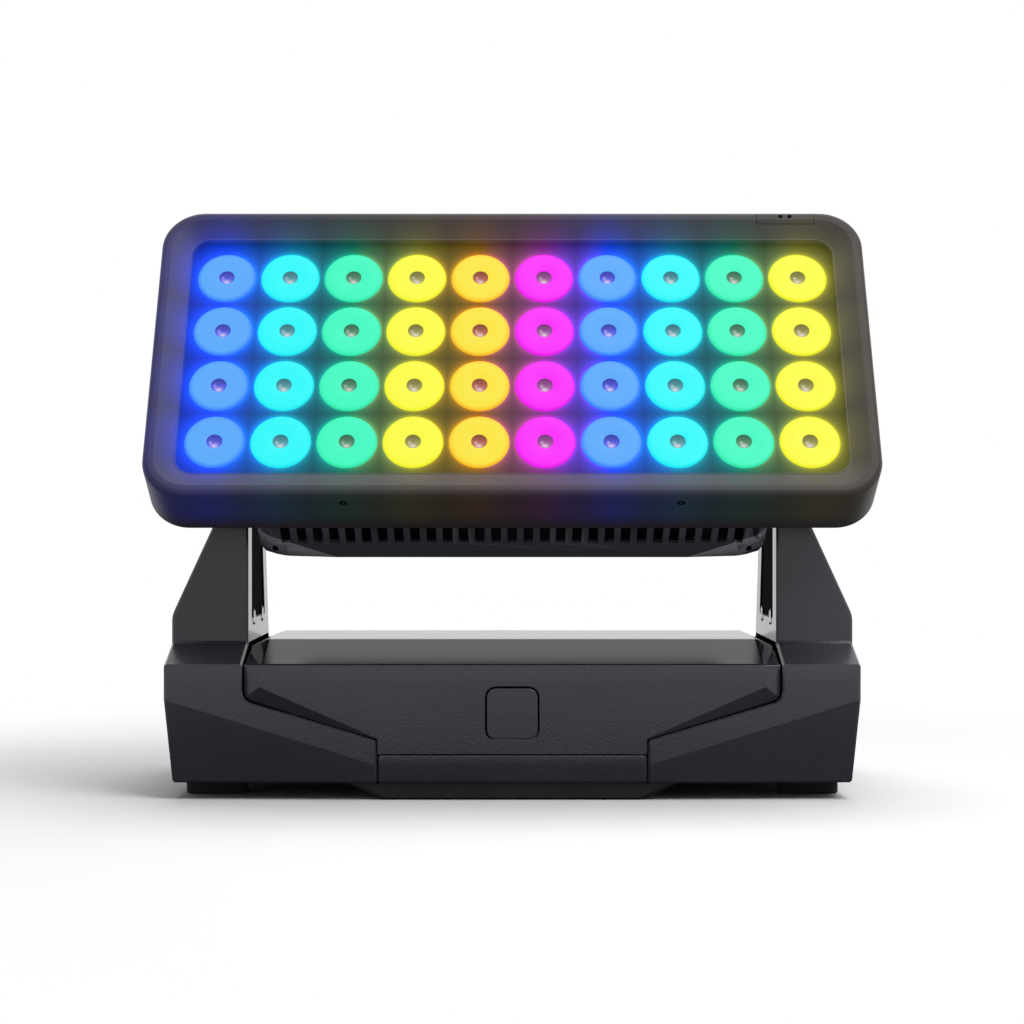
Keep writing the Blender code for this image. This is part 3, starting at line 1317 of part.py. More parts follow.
def blade_mesh(bm, centre, turn):
    """One fan blade: rectangles across the radius, turned less and less towards the tip."""
    rings = []
    root = (FAN_HUB - BLADE_THICKNESS, BLADE_ROOT_PITCH, BLADE_ROOT_CHORD)
    tip = (FAN_TIP, BLADE_TIP_PITCH, BLADE_TIP_CHORD)
    for radius, angle, chord in (root, tip):
        along = Vector((0, sin(angle), cos(angle))) * chord / 2
        across = Vector((0, cos(angle), -sin(angle))) * BLADE_THICKNESS / 2
        middle = Vector((radius, 0, 0))
        corners = [middle + a * along + b * across for a, b in ((-1, -1), (1, -1), (1, 1), (-1, 1))]
        rings.append([Vector(centre) + Matrix.Rotation(turn, 3, "Y") @ corner for corner in corners])
    loops = [[bm.verts.new(point) for point in ring] for ring in rings]
    bm.faces.new(loops[0])
    bm.faces.new(loops[-1])
    for one, two in zip(loops, loops[1:]):
        for i in range(4):
            bm.faces.new((one[i], one[(i + 1) % 4], two[(i + 1) % 4], two[i]))


def make_fans(pivot):
    """Two fans behind the grilles: a square frame with a motor plate on four struts, and a bladed rotor."""
    back = behind_rim(REAR_END - CASING_WALL) - SEAT_GAP
    front = back - FAN_DEPTH
    plate_front = back - FAN_STRUT
    for label, x in zip(("left", "right"), fan_places()):
        outline = rectangle(FAN_SIZE / 2, FAN_SIZE / 2, FAN_CORNER, (x, 0), FEW_STEPS)
        name = label + "_fan_frame"
        frame = prism(name, outline, front, back, "Y", material=BLACK, parent=pivot)
        hidden = {"parent": pivot, "cutter": True}
        depth = (front - SKIN, back + SKIN)
        combine(frame, cylinders(name + "_bore", [(x, 0)], FAN_BORE, *depth, "Y", ROUND_STEPS, **hidden))
        depth = (plate_front, back)
        plate = cylinders(name + "_plate", [(x, 0)], FAN_HUB, *depth, "Y", SMALL_STEPS, **hidden)
        reach = FAN_SIZE / 2 - FAN_STRUT / 2
        half = FAN_STRUT / 2
        struts = [
            ((x - reach, plate_front + half / 2, -half), (x + reach, back - half / 2, half)),
            ((x - half, plate_front + half / 2, -reach), (x + half, back - half / 2, reach)),
        ]
        cross = blocks(name + "_struts", struts[:1], **hidden)
        upright = blocks(name + "_upright", struts[1:], **hidden)
        for piece in (plate, cross, upright):
            combine(frame, piece, "UNION")
        depth = FAN_DEPTH - FAN_STRUT - 2 * RUN_GAP
        hub_back = plate_front - RUN_GAP
        edge = (FAN_HUB - HUB_EDGE, HUB_EDGE - depth)
        profile = [(0, 0), (FAN_HUB, 0), (FAN_HUB, edge[1]), (edge[0], -depth), (0, -depth)]
        place = (x, hub_back, 0)
        rotor = turned(label + "_fan_rotor", profile, SMALL_STEPS, "Y", place, material=BLACK, parent=pivot)
        bm = bmesh.new()
        for blade in range(FAN_BLADES):
            blade_mesh(bm, (x, hub_back - depth / 2, 0), 2 * pi * blade / FAN_BLADES)
        blades = add(label + "_fan_blades", mesh_of(bm, "blades"), **hidden)
        combine(rotor, blades, "UNION")
        smooth(rotor)


def make_trunnions(pivot):
    """Hollow flanged shafts on the casing's sides, and the belt pulley on the right one."""
    start = CASING_WIDTH / 2 + SEAT_GAP
    ends = {"left": BEARING_X + BEARING_WIDTH + RUN_GAP, "right": PULLEY_X + PULLEY_WIDTH + RUN_GAP}
    for label, side in SIDES:
        profile = mirror_profile(
            [
                (SHAFT_RADIUS, ends[label]),
                (SHAFT_RADIUS, start + TRUNNION_FLANGE_THICKNESS),
                (TRUNNION_FLANGE, start + TRUNNION_FLANGE_THICKNESS),
                (TRUNNION_FLANGE, start),
                (SHAFT_BORE, start),
                (SHAFT_BORE, ends[label]),
            ],
            side,
        )
        smooth(turned(label + "_trunnion", profile, SHAFT_STEPS, "X", material=ALLOY, parent=pivot))
    profile = [(r, a + PULLEY_X) for r, a in pulley_profile(HEAD_PULLEY_RADIUS, SHAFT_RADIUS + SEAT_GAP)]
    profile = profile[1:] + profile[:1]
    smooth(turned("head_pulley", profile, SHAFT_STEPS, "X", material=ALLOY, parent=pivot))


def build():
    for label, side in SIDES:
        make_side_shell(label, side)
        make_arm_cover(label, side)
    make_top_cover()
    make_front_panels()
    make_rear_panel()
    make_sockets()
    make_buttons()
    make_safety_eye()
    make_underside()
    make_electronics()
    make_motor()
    make_bearings()
    pivot = make_head_pivot()
    make_front_frame(pivot)
    make_lenses(pivot)
    make_light_engine(pivot)
    make_casing(pivot)
    make_rear_cover(pivot)
    make_fans(pivot)
    make_trunnions(pivot)


build()
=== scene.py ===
"""A floor-standing LED wash light, dressed piece by piece in the order in which it is put together.

Metres, +Z up. The base comes first, then the tilting head from its shafts out to its lit face,
then the floor, the lamps and the camera.
"""

from math import cos, pi, radians, sin

import bmesh
import bpy
import numpy as np
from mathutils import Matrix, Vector


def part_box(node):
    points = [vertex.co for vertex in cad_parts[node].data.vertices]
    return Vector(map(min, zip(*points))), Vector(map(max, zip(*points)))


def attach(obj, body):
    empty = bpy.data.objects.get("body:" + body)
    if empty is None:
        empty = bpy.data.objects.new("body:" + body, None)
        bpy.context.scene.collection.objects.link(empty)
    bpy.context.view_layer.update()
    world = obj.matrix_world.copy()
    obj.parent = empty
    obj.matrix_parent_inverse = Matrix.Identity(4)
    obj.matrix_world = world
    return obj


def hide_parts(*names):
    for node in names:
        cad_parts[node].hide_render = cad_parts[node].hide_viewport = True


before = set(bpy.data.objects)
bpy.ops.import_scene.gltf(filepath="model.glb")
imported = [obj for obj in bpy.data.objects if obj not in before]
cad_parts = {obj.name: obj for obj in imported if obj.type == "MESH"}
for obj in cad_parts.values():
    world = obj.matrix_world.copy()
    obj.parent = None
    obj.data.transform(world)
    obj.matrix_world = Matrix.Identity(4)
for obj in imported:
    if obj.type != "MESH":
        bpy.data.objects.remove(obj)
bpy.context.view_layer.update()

# Side shells
# One moulding each side: end block, wings, saddle and arm. Glass-filled polyamide from a
# spark-eroded steel tool, which leaves an even fine grain and soft edges.
SHELL_COLOUR = "36333C"
SHELL_SHADE = "403D47"
SHELL_ROUGHNESS = 0.23
SHELL_GRAIN = 0.0014
SHELL_GRAIN_HEIGHT = 0.00017
SHELL_EDGE = 0.0013
SHELL_SPECULAR = 0.45
SHOULDER_HEIGHT = 0.1147
FACE_Y = -0.1310
CROWN_RADIUS = 0.0450
CROWN_HEIGHT = 0.0145
CROWN_STEPS = 8
LEAST_CREASE = 7
# Waves per metre of the slow drift of colour and of the smears in every finish.
DRIFT_SCALE = 14.0
SMEAR_SCALE = 22.0


def linear(code):
    """An sRGB hex colour as linear RGBA: each channel goes through the sRGB curve."""
    channels = [int(code[i : i + 2], 16) / 255 for i in (0, 2, 4)]
    return [c / 12.92 if c <= 0.04045 else ((c + 0.055) / 1.055) ** 2.4 for c in channels] + [1]


def add_node(tree, kind, inputs=None, **settings):
    """One shader node: settings are its own, inputs hold values or the outputs that feed it."""
    made = tree.nodes.new("ShaderNode" + kind)
    for name, value in settings.items():
        setattr(made, name, value)
    for name, value in (inputs or {}).items():
        if isinstance(value, bpy.types.NodeSocket):
            tree.links.new(value, made.inputs[name])
        else:
            made.inputs[name].default_value = value
    return made


def calculated(tree, operation, *values):
    """The output of a Math node that works on the values in their order."""
    return add_node(tree, "Math", dict(enumerate(values)), operation=operation).outputs[0]


def mixed(tree, factor, first, second):
    """Two colours, each a constant or an output, mixed by a factor."""
    return add_node(tree, "Mix", {0: factor, 6: first, 7: second}, data_type="RGBA").outputs[2]


def faded(tree, value, start, end, low=0.0, high=1.0):
    """A smooth change from low to high while the value runs from start to end."""
    inputs = {"Value": value, "From Min": start, "From Max": end, "To Min": low, "To Max": high}
    return add_node(tree, "MapRange", inputs, interpolation_type="SMOOTHSTEP").outputs["Result"]


def surface(name, roughness, metallic=0.0, ior=None, specular=None):
    """A material with a Principled shader; returns it with its tree, its shader and the place
    of a point in the object's own coordinates. A metal keeps the default IOR."""
    material = bpy.data.materials.new(name)
    material.use_nodes = True
    tree = material.node_tree
    shader = tree.nodes["Principled BSDF"]
    shader.inputs["Roughness"].default_value = roughness
    shader.inputs["Metallic"].default_value = metallic
    if ior is not None:
        shader.inputs["IOR"].default_value = ior
    if specular is not None:
        shader.inputs["Specular IOR Level"].default_value = specular
    place = add_node(tree, "TexCoord").outputs["Object"]
    return material, tree, shader, place


def grained(name, colour, shade, roughness, size, height, metallic=0.0, ior=None, specular=None):
    """A moulded, cast or painted finish: the colour drifts slowly between two tones, a fine
    grain of the given size and height breaks up the gloss, and broad smears, such as hands
    leave, make it duller here and there."""
    material, tree, shader, place = surface(name, roughness, metallic, ior, specular)
    drift = add_node(tree, "TexNoise", {"Vector": place, "Scale": DRIFT_SCALE, "Detail": 3.0})
    tone = mixed(tree, drift.outputs["Fac"], linear(colour), linear(shade))
    tree.links.new(tone, shader.inputs["Base Color"])
    grain = add_node(tree, "TexNoise", {"Vector": place, "Scale": 1 / size, "Detail": 3.0}).outputs["Fac"]
    smear = {"Vector": place, "Scale": SMEAR_SCALE, "Detail": 4.0, "Distortion": 1.2}
    smear = add_node(tree, "TexNoise", smear).outputs["Fac"]
    change = roughness / 4
    dull = calculated(tree, "MULTIPLY_ADD", smear, change, roughness - change)
    gloss = calculated(tree, "MULTIPLY_ADD", grain, change, dull)
    tree.links.new(gloss, shader.inputs["Roughness"])
    bump = add_node(tree, "Bump", {"Height": grain, "Distance": height})
    tree.links.new(bump.outputs["Normal"], shader.inputs["Normal"])
    return material


def place_piece(name, mesh, materials, body, nodes=()):
    """A finished piece: its mesh as an object at the origin, its finishes and its body."""
    piece = bpy.data.objects.new(name, mesh)
    bpy.context.scene.collection.objects.link(piece)
    piece.data.materials.clear()
    for material in materials:
        piece.data.materials.append(material)
    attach(piece, body)
    if nodes:
        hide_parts(*nodes)
    return piece


def eased(node, name, material, body, edge, least=18, cuts=(), reshape=None):
    """The rigid node's own form with every hard edge eased: its triangles are merged, flat
    regions become whole faces, and a two-step round of the given width runs along each edge.
    Edges flatter than the least angle stay as they are. Cuts, each a point and a normal,
    divide the form first where the reshape then moves its points."""
    form = bmesh.new()
    form.from_mesh(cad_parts[node].data)
    bmesh.ops.remove_doubles(form, verts=form.verts, dist=0.00002)
    bmesh.ops.dissolve_limit(form, angle_limit=radians(0.5), verts=form.verts, edges=form.edges)
    for point, normal in cuts:
        bmesh.ops.bisect_plane(
            form, geom=form.verts[:] + form.edges[:] + form.faces[:], dist=0.00001,
            plane_co=point, plane_no=normal,
        )
    for face in form.faces:
        face.smooth = True
    if reshape:
        bmesh.ops.triangulate(form, faces=[f for f in form.faces if len(f.verts) > 4])
    mesh = bpy.data.meshes.new(name)
    form.to_mesh(mesh)
    form.free()
    if reshape:
        points = np.empty(len(mesh.vertices) * 3)
        mesh.vertices.foreach_get("co", points)
        mesh.vertices.foreach_set("co", reshape(points.reshape(-1, 3)).ravel())
    piece = place_piece(name, mesh, [material], body, (node,))
    round_off = piece.modifiers.new("eased_edges", "BEVEL")
    round_off.width = edge
    round_off.segments = 2
    round_off.limit_method = "ANGLE"
    round_off.angle_limit = radians(least)
    flat = piece.modifiers.new("flat_faces", "WEIGHTED_NORMAL")
    flat.keep_sharp = True
    flat.weight = 80
    return piece


crown_levels = SHOULDER_HEIGHT - np.linspace(0, CROWN_HEIGHT, CROWN_STEPS + 1)[1:]
crown_cuts = [((0, 0, level), (0, 0, 1)) for level in crown_levels]


def crowned(points):
    """Draws the upper edge of the front and rear faces in over a round: at a height h above
    the round's start, a point lies at least R - sqrt(R^2 - h^2) behind the face."""
    rise = np.clip(points[:, 2] - SHOULDER_HEIGHT + CROWN_HEIGHT, 0, CROWN_HEIGHT)
    limit = -FACE_Y - (CROWN_RADIUS - np.sqrt(CROWN_RADIUS ** 2 - rise ** 2))
    points[:, 1] = np.clip(points[:, 1], -limit, limit)
    return points


# Polyamide with glass fibre, spark-eroded: charcoal with a trace of violet. The grain is drawn
# coarser than a real one, which is half a millimetre across, so that it shows.
moulded = grained(
    "glass-filled polyamide, eroded grain", SHELL_COLOUR, SHELL_SHADE, SHELL_ROUGHNESS,
    SHELL_GRAIN, SHELL_GRAIN_HEIGHT, ior=1.5, specular=SHELL_SPECULAR,
)
for side in ("left", "right"):
    eased(side + "_side_shell", side + "_shell", moulded, "base",
          edge=SHELL_EDGE, least=LEAST_CREASE, cuts=crown_cuts, reshape=crowned)

# Tray of the base with its inside
# A folded steel pan, powder-coated, carries the supply in its ribbed case, the tilt motor on
# its bracket and the control board.
# Powder coat on steel: even, slightly pebbled, half dull.
powder_coat = grained("powder-coated steel", "34333A", "3A393F", 0.5, 0.0016, 0.00010, ior=1.5)
# Extruded aluminium left bare: grey, with faint die lines.
alloy = grained("extruded aluminium", "9C9EA2", "A8AAAD", 0.40, 0.0010, 0.00003, metallic=1.0)
# Zinc plate on steel: bright and slightly cloudy.
zinc = grained("zinc-plated steel", "A9A9A6", "BAB9B4", 0.34, 0.0030, 0.00001, metallic=1.0)
# Moulded rubber: almost black and quite dull.
rubber = grained("moulded rubber", "3A393F", "424146", 0.85, 0.0015, 0.00008, ior=1.52, specular=0.3)
# Glass-fibre board under green solder mask: half glossy with a faint weave.
board = grained("solder-masked glass-fibre board", "174027", "1E4C30", 0.35, 0.0008, 0.00002, ior=1.5)
# Black nylon of fans, gears and sockets: an even satin.
nylon = grained("black nylon", "121214", "18181B", 0.45, 0.0014, 0.00005, ior=1.53)
FINISHES = {
    "base_pan": powder_coat, "tilt_motor": powder_coat, "power_supply": alloy, "motor_bracket": zinc,
    "left_bearing": zinc, "right_bearing": zinc, "tilt_belt": rubber, "control_board": board,
    "heat_sink": alloy, "left_trunnion": alloy, "right_trunnion": alloy, "head_pulley": alloy,
    "head_gasket": rubber, "head_chassis": powder_coat, "led_board": board, "motor_pulley": alloy,
    "left_fan_frame": nylon, "right_fan_frame": nylon, "left_fan_rotor": nylon, "right_fan_rotor": nylon,
    "power_inlet": nylon, "power_outlet": nylon, "data_inlet": nylon, "data_outlet": nylon,
    "menu_button_1": rubber, "menu_button_2": rubber, "menu_button_3": rubber, "menu_button_4": rubber,
    "safety_eye": zinc,
}
for node, material in FINISHES.items():
    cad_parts[node].material_slots[0].material = material

# Plate under the base and feet
# The plate is a pressed steel panel with holes for clamp brackets. The feet are moulded
# rubber, screwed on from below.
eased("bottom_plate", "underside_plate", powder_coat, "base", edge=0.0006)
for foot in ("front_left_foot", "front_right_foot", "rear_left_foot", "rear_right_foot"):
    eased(foot, foot + "_rubber", rubber, "base", edge=0.0010)

# Front panel, its pad and the strip below
# Mouldings of the same polyamide, clipped in between the wings with a narrow joint all round.
WING_CORNER_X = 0.1147
WING_CORNER_HEIGHT = 0.0530
PANEL_INSIDE = -0.1240


def squared(points):
    """Crowns the panel and ends its long facets at the inner corners of the wings: outer
    points below and between those corners lie in the front face."""
    low = (np.abs(points[:, 0]) < WING_CORNER_X) & (points[:, 2] < WING_CORNER_HEIGHT)
    points[low & (points[:, 1] < PANEL_INSIDE), 1] = FACE_Y
    return crowned(points)


eased("front_panel", "front_cover", moulded, "base", edge=0.0006,
      cuts=crown_cuts, reshape=squared)
eased("front_pad", "front_square_pad", moulded, "base", edge=0.0003)
PAD_HEIGHT = 0.0738
PAD_HALF = 0.02135
PAD_CORNER = 0.0075
PAD_GROOVE = 0.0016
GROOVE_DEPTH = 0.0017
JOINT_UNDER_PAD = 0.0002
FOAM_THICK = 0.0003
RING_STEPS = 12


def rounded_ring(half_a, half_b, corner, steps=RING_STEPS):
    """Points round a rectangle with round corners: each corner is a quarter circle. Columns
    of sizes give a row of points each."""
    quarter = np.concatenate([np.linspace(0, pi / 2, steps) + k * pi / 2 for k in range(4)])
    a = np.repeat([1, -1, -1, 1], steps) * (half_a - corner) + corner * np.cos(quarter)
    b = np.repeat([1, 1, -1, -1], steps) * (half_b - corner) + corner * np.sin(quarter)
    return a, b


def flat_ring(outer, inner, place):
    """A thin closed band between two outlines, each (a, b) arrays; place turns a, b and a
    level of 0 (front) or 1 (back) into points."""
    loops = [place(*outer, 0), place(*inner, 0), place(*inner, 1), place(*outer, 1)]
    return skin(np.array(loops), ring=True)


def skin(points, ring=False):
    """Faces over a grid of points whose columns join up. A ring's rows join up too; otherwise
    one face closes the first row and one the last. Returns the points and the faces."""
    rows, columns = points.shape[:2]
    index = np.arange(rows * columns).reshape(rows, columns)
    lower = index if ring else index[:-1]
    upper = np.roll(index, -1, axis=0) if ring else index[1:]
    quads = np.stack([lower, np.roll(lower, -1, axis=1), np.roll(upper, -1, axis=1), upper], axis=-1)
    faces = quads.reshape(-1, 4).tolist()
    if not ring:
        faces += [index[0, ::-1].tolist(), index[-1].tolist()]
    return points.reshape(-1, 3), faces


def joined(name, skins, angle=35):
    """One mesh from several skins, each turned so that it encloses a positive volume. Edges
    that turn by more than the angle stay sharp."""
    points, faces, start = [], [], 0
    for some_points, some_faces in skins:
        corners = np.array([[f[0], f[i], f[i + 1]] for f in some_faces for i in range(1, len(f) - 1)])
        a, b, c = (some_points[corners[:, k]] for k in range(3))
        inside_out = np.einsum("ij,ij->", a, np.cross(b, c)) < 0
        points.append(some_points)
        faces += [[i + start for i in (face[::-1] if inside_out else face)] for face in some_faces]
        start += len(some_points)
    mesh = bpy.data.meshes.new(name)
    mesh.from_pydata(np.concatenate(points), [], faces)
    mesh.shade_smooth()
    mesh.set_sharp_from_angle(angle=radians(angle))
    return mesh


def pad_joint_place(a, b, level):
    """Points of the groove's floor round the pad."""
    y = FACE_Y + GROOVE_DEPTH + FOAM_THICK * level
    return np.stack([a, np.full_like(a, y), PAD_HEIGHT + b], axis=-1)


# Black foam in the joint round the pad, also used as the painted shadow of the gap round the sensor cover:
# dull and dark.
joint_foam_and_gap_shadow = grained("black joint foam and painted gap shadow", "040405", "070708", 0.9, 0.0008, 0.00003, ior=1.45, specular=0.1)
outer = rounded_ring(PAD_HALF + PAD_GROOVE, PAD_HALF + PAD_GROOVE, PAD_CORNER + PAD_GROOVE)
inner = rounded_ring(PAD_HALF - JOINT_UNDER_PAD, PAD_HALF - JOINT_UNDER_PAD, PAD_CORNER)
joint_and_gap_shadow_mesh = joined("pad_joint", [flat_ring(outer, inner, pad_joint_place)])
place_piece("pad_joint", joint_and_gap_shadow_mesh, [joint_foam_and_gap_shadow], "base")
eased("lower_front_panel", "lower_front_strip", moulded, "base", edge=0.0007)

# Top cover
# The same polyamide from a polished tool: satin, so that it mirrors a bright room when it is
# seen along its length.
satin = grained("satin polyamide", "222027", "28262D", 0.15, 0.0009, 0.000006, ior=1.5, specular=0.35)
satin.node_tree.nodes["Principled BSDF"].inputs["Specular Tint"].default_value = linear("F2ECF6")
eased("top_cover", "top_lid", satin, "base", edge=0.0008)

# Rear panel with its window
# The panel is moulded like the front, the window is a flat tinted acrylic pane.
eased("rear_panel", "rear_cover_of_base", moulded, "base", edge=0.0005)
# Tinted acrylic: dark, smooth and glossy.
acrylic = grained("tinted acrylic", "0C1014", "10151A", 0.14, 0.0200, 0.00001, ior=1.49)
eased("display_window", "menu_window", acrylic, "base", edge=0.0003)

# Socket contacts
# Brass pins with round tips, pressed into the floor of each socket: three in the power
# sockets, five in the data sockets.
SOCKET_FLOOR = 0.0140
CONTACT_LENGTH = 0.0100
CONTACT_RADIUS = 0.0011
POWER_RING = 0.0048
DATA_RING = 0.0052
CONTACT_STEPS = 12


def contact_skin(x, z, floor):
    """A pin along Y from the socket's floor: its radius at the share t of its length is
    R sqrt(1 - t^8)."""
    share = np.linspace(0, 1, 11)
    turn = np.linspace(0, 2 * pi, CONTACT_STEPS, endpoint=False)
    radius = CONTACT_RADIUS * np.sqrt(1 - 0.998 * share ** 8)[:, None]
    y = floor + CONTACT_LENGTH * share[:, None] + 0 * turn
    return skin(np.stack([x + radius * np.cos(turn), y, z + radius * np.sin(turn)], axis=-1))


# Drawn brass: yellow, half bright.
brass = grained("drawn brass", "C9A45A", "D6B26A", 0.28, 0.0006, 0.000004, metallic=1.0)
for socket, count, ring in (("power_inlet", 3, POWER_RING), ("power_outlet", 3, POWER_RING),
                            ("data_inlet", 5, DATA_RING), ("data_outlet", 5, DATA_RING)):
    low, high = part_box(socket)
    middle_x, middle_z = (low[0] + high[0]) / 2, (low[2] + high[2]) / 2
    pins = [
        contact_skin(middle_x + ring * cos(a), middle_z + ring * sin(a), high[1] - SOCKET_FLOOR)
        for a in pi / 2 + 2 * pi * np.arange(count) / count
    ]
    name = socket + "_contacts"
    place_piece(name, joined(name, pins, 60), [brass], "base")

# Arm covers
# Satin mouldings over the inner sides of the arms, with a sunk field.
for side in ("left", "right"):
    eased(side + "_arm_cover", side + "_arm_inner_cover", satin, "base", edge=0.0004)

# Arm channels
# The sunk field of each arm cover is lined with black felt. Two polished spring pins stand at
# its foot, where the cover is clipped to the arm.
COVER_FACE_X = 0.2278
CHANNEL_X = 0.2298
CHANNEL_FRONT = -0.0550
CHANNEL_REAR = 0.0510
CHANNEL_REAR_TOP = 0.0210
CHANNEL_FOOT = 0.1502
CHANNEL_TOP = 0.2652
LINER_GAP = 0.0008
LINER_THICK = 0.0006
CHANNEL_CORNER = 0.0030
PIN_PLACES = (-0.0376, 0.0296)
PIN_FOOT = 0.1440
PIN_LENGTH = 0.0140
PIN_RADIUS = 0.0013
TURN_STEPS = 24


def rounded_corner(before, here, after, reach, steps):
    """A short curve in place of a corner, by quadratic blending between points on its two
    sides, at the reach from it or at nearly half of a shorter side."""
    ends = []
    for side in (before - here, after - here):
        length = np.linalg.norm(side)
        ends.append(here + side / length * min(reach, length * 0.48))
    t = np.linspace(0, 1, steps)[:, None]
    return (1 - t) ** 2 * ends[0] + 2 * t * (1 - t) * here + t ** 2 * ends[1]


def liner_skin(side):
    """The liner of a channel: a field with four rounded corners, with a face and a back."""
    gap = LINER_GAP
    corners = np.array([
        (CHANNEL_REAR - gap, CHANNEL_FOOT + gap), (CHANNEL_REAR_TOP - gap, CHANNEL_TOP - gap),
        (CHANNEL_FRONT + gap, CHANNEL_TOP - gap), (CHANNEL_FRONT + gap, CHANNEL_FOOT + gap),
    ])
    loop = np.concatenate([
        rounded_corner(corners[i - 1], corners[i], corners[(i + 1) % 4], CHANNEL_CORNER, 6)
        for i in range(4)
    ])
    faces = [side * (CHANNEL_X - level) for level in (LINER_THICK, 0.0)]
    return skin(np.array([np.c_[np.full(len(loop), x), loop] for x in faces]))


def pin_skin(side, y):
    """A round pin with domed ends, half sunk in the cover: its radius at the height z from its
    middle is R sqrt(1 - (z / half length)^6)."""
    reach = np.linspace(-1, 1, 15)
    radius = PIN_RADIUS * np.sqrt(1 - np.abs(reach) ** 6 * 0.998)
    turn = np.linspace(0, 2 * pi, TURN_STEPS, endpoint=False)
    x = side * COVER_FACE_X + radius[:, None] * np.cos(turn)
    place_y = y + radius[:, None] * np.sin(turn)
    z = PIN_FOOT + PIN_LENGTH / 2 * (1 + reach)[:, None] + 0 * x
    return skin(np.stack([x, place_y, z], axis=-1))


# Black felt: takes nearly all light.
felt = grained("black felt", "040405", "080809", 1.0, 0.0011, 0.00020, ior=1.4, specular=0.05)
# Polished steel: bright, with fine draw marks.
steel = grained("polished steel", "C8C8C8", "D2D2D0", 0.16, 0.0005, 0.000004, metallic=1.0)
for label, side in (("left", -1), ("right", 1)):
    name = label + "_channel_liner"
    place_piece(name, joined(name, [liner_skin(side)]), [felt], "base")
    name = label + "_spring_pins"
    pins = [pin_skin(side, y) for y in PIN_PLACES]
    place_piece(name, joined(name, pins, 60), [steel], "base")

# Head casing and rear cover
# Die-cast aluminium shells under a thin dark paint. Their lower rear corners are cut away on
# a slant, so that the head clears the base.
PIVOT_Y = -0.028
PIVOT_Z = 0.3242
PIVOT_DEPTH = 0.115
ELEVATION = radians(30.4)
SLANT_START = (0.1530, 0.1384)
SLANT_ALONG = (0.837, -0.548)
SLANT_RISE = 0.06
CASING_FOOT = -0.1250
CASING_SIDE = 0.2190
CASING_CORNER = 0.0120
CASING_END = 0.1384
# The corner facet of the plain form: where it starts and how it rises across and along.
FACET_START = 0.1570
FACET_ACROSS = 0.1395
FACET_ALONG = 0.2500
FACET_NEAR = 0.0004
# The chamfer of the lower side edge, outside the facet.
CHAMFER_START = 0.1940
CHAMFER_SLOPE = 0.43
CHAMFER_FRONT = 0.1200
# The painted paler tone of the facets, which stands in for the light they catch, ends at this height of the
# head; their painted bright edge is this wide.
FACET_TOP = -0.1120
FACET_EDGE = 0.0003
FACET_EDGE_HALF = 0.0005
LEAST_CASTING_CREASE = 12
# Along the head's depth and its height, and where its rim and its middle lie on these.
DEPTH_ALONG = (0, cos(ELEVATION), -sin(ELEVATION))
UP_ALONG = (0, sin(ELEVATION), cos(ELEVATION))
RIM_DEPTH = PIVOT_Y * cos(ELEVATION) - PIVOT_Z * sin(ELEVATION) - PIVOT_DEPTH
MIDDLE_UP = PIVOT_Y * sin(ELEVATION) + PIVOT_Z * cos(ELEVATION)


def on_head(across, behind, up):
    """Points of the tilted head: across is x, behind is the depth behind the rim and up runs
    along the lit face; the face turns about the tilt axis by the elevation."""
    depth = np.asarray(behind) - PIVOT_DEPTH
    across, depth, up = np.broadcast_arrays(across, depth, up)
    y = PIVOT_Y + depth * cos(ELEVATION) + up * sin(ELEVATION)
    z = PIVOT_Z - depth * sin(ELEVATION) + up * cos(ELEVATION)
    return np.stack([across, y, z], axis=-1)


def past_slant(across, behind):
    """Distance of a place of the underside beyond the slanting line, in x and depth."""
    side = np.abs(across) - SLANT_START[0]
    return np.maximum(0, (behind - SLANT_START[1]) * SLANT_ALONG[0] - side * SLANT_ALONG[1])


def slanted(points):
    """Turns the casing's plain corner facet into the slanting one: a point of that facet goes
    back to the underside, whose corner has the radius R, and then rises by its distance
    beyond the slanting line times the slope."""
    y, z = points[:, 1] - PIVOT_Y, points[:, 2] - PIVOT_Z
    behind = PIVOT_DEPTH + y * cos(ELEVATION) - z * sin(ELEVATION)
    up = y * sin(ELEVATION) + z * cos(ELEVATION)
    side = np.abs(points[:, 0])
    lift = (side - FACET_START) * FACET_ACROSS - (CASING_END - behind) * FACET_ALONG
    in_casing = behind < CASING_END + FACET_NEAR
    on_facet = (lift > 0) & (np.abs(up - CASING_FOOT - lift) < FACET_NEAR) & in_casing
    turned = np.clip(side - CASING_SIDE + CASING_CORNER, 0, CASING_CORNER)
    foot = CASING_FOOT + CASING_CORNER - np.sqrt(CASING_CORNER ** 2 - turned ** 2)
    up = np.where(on_facet, foot, up)
    low = CASING_FOOT + SLANT_RISE * past_slant(side, behind)
    low = low + np.where(behind > CHAMFER_FRONT, CHAMFER_SLOPE * np.maximum(0, side - CHAMFER_START), 0)
    return on_head(points[:, 0], behind, np.where(in_casing, np.maximum(up, low), up))


slant_cuts = []
for side in (-1, 1):
    start = on_head(side * SLANT_START[0], SLANT_START[1], 0)
    end = on_head(side * (SLANT_START[0] - SLANT_ALONG[1]), SLANT_START[1] + SLANT_ALONG[0], 0)
    slant_cuts.append((tuple(start), tuple(end - start)))
    slant_cuts.append(((side * CHAMFER_START, 0, 0), (1, 0, 0)))


def along_line(tree, place, direction):
    """How far a place lies along a direction, from the origin."""
    product = add_node(tree, "VectorMath", {0: place, 1: direction}, operation="DOT_PRODUCT")
    return product.outputs["Value"]


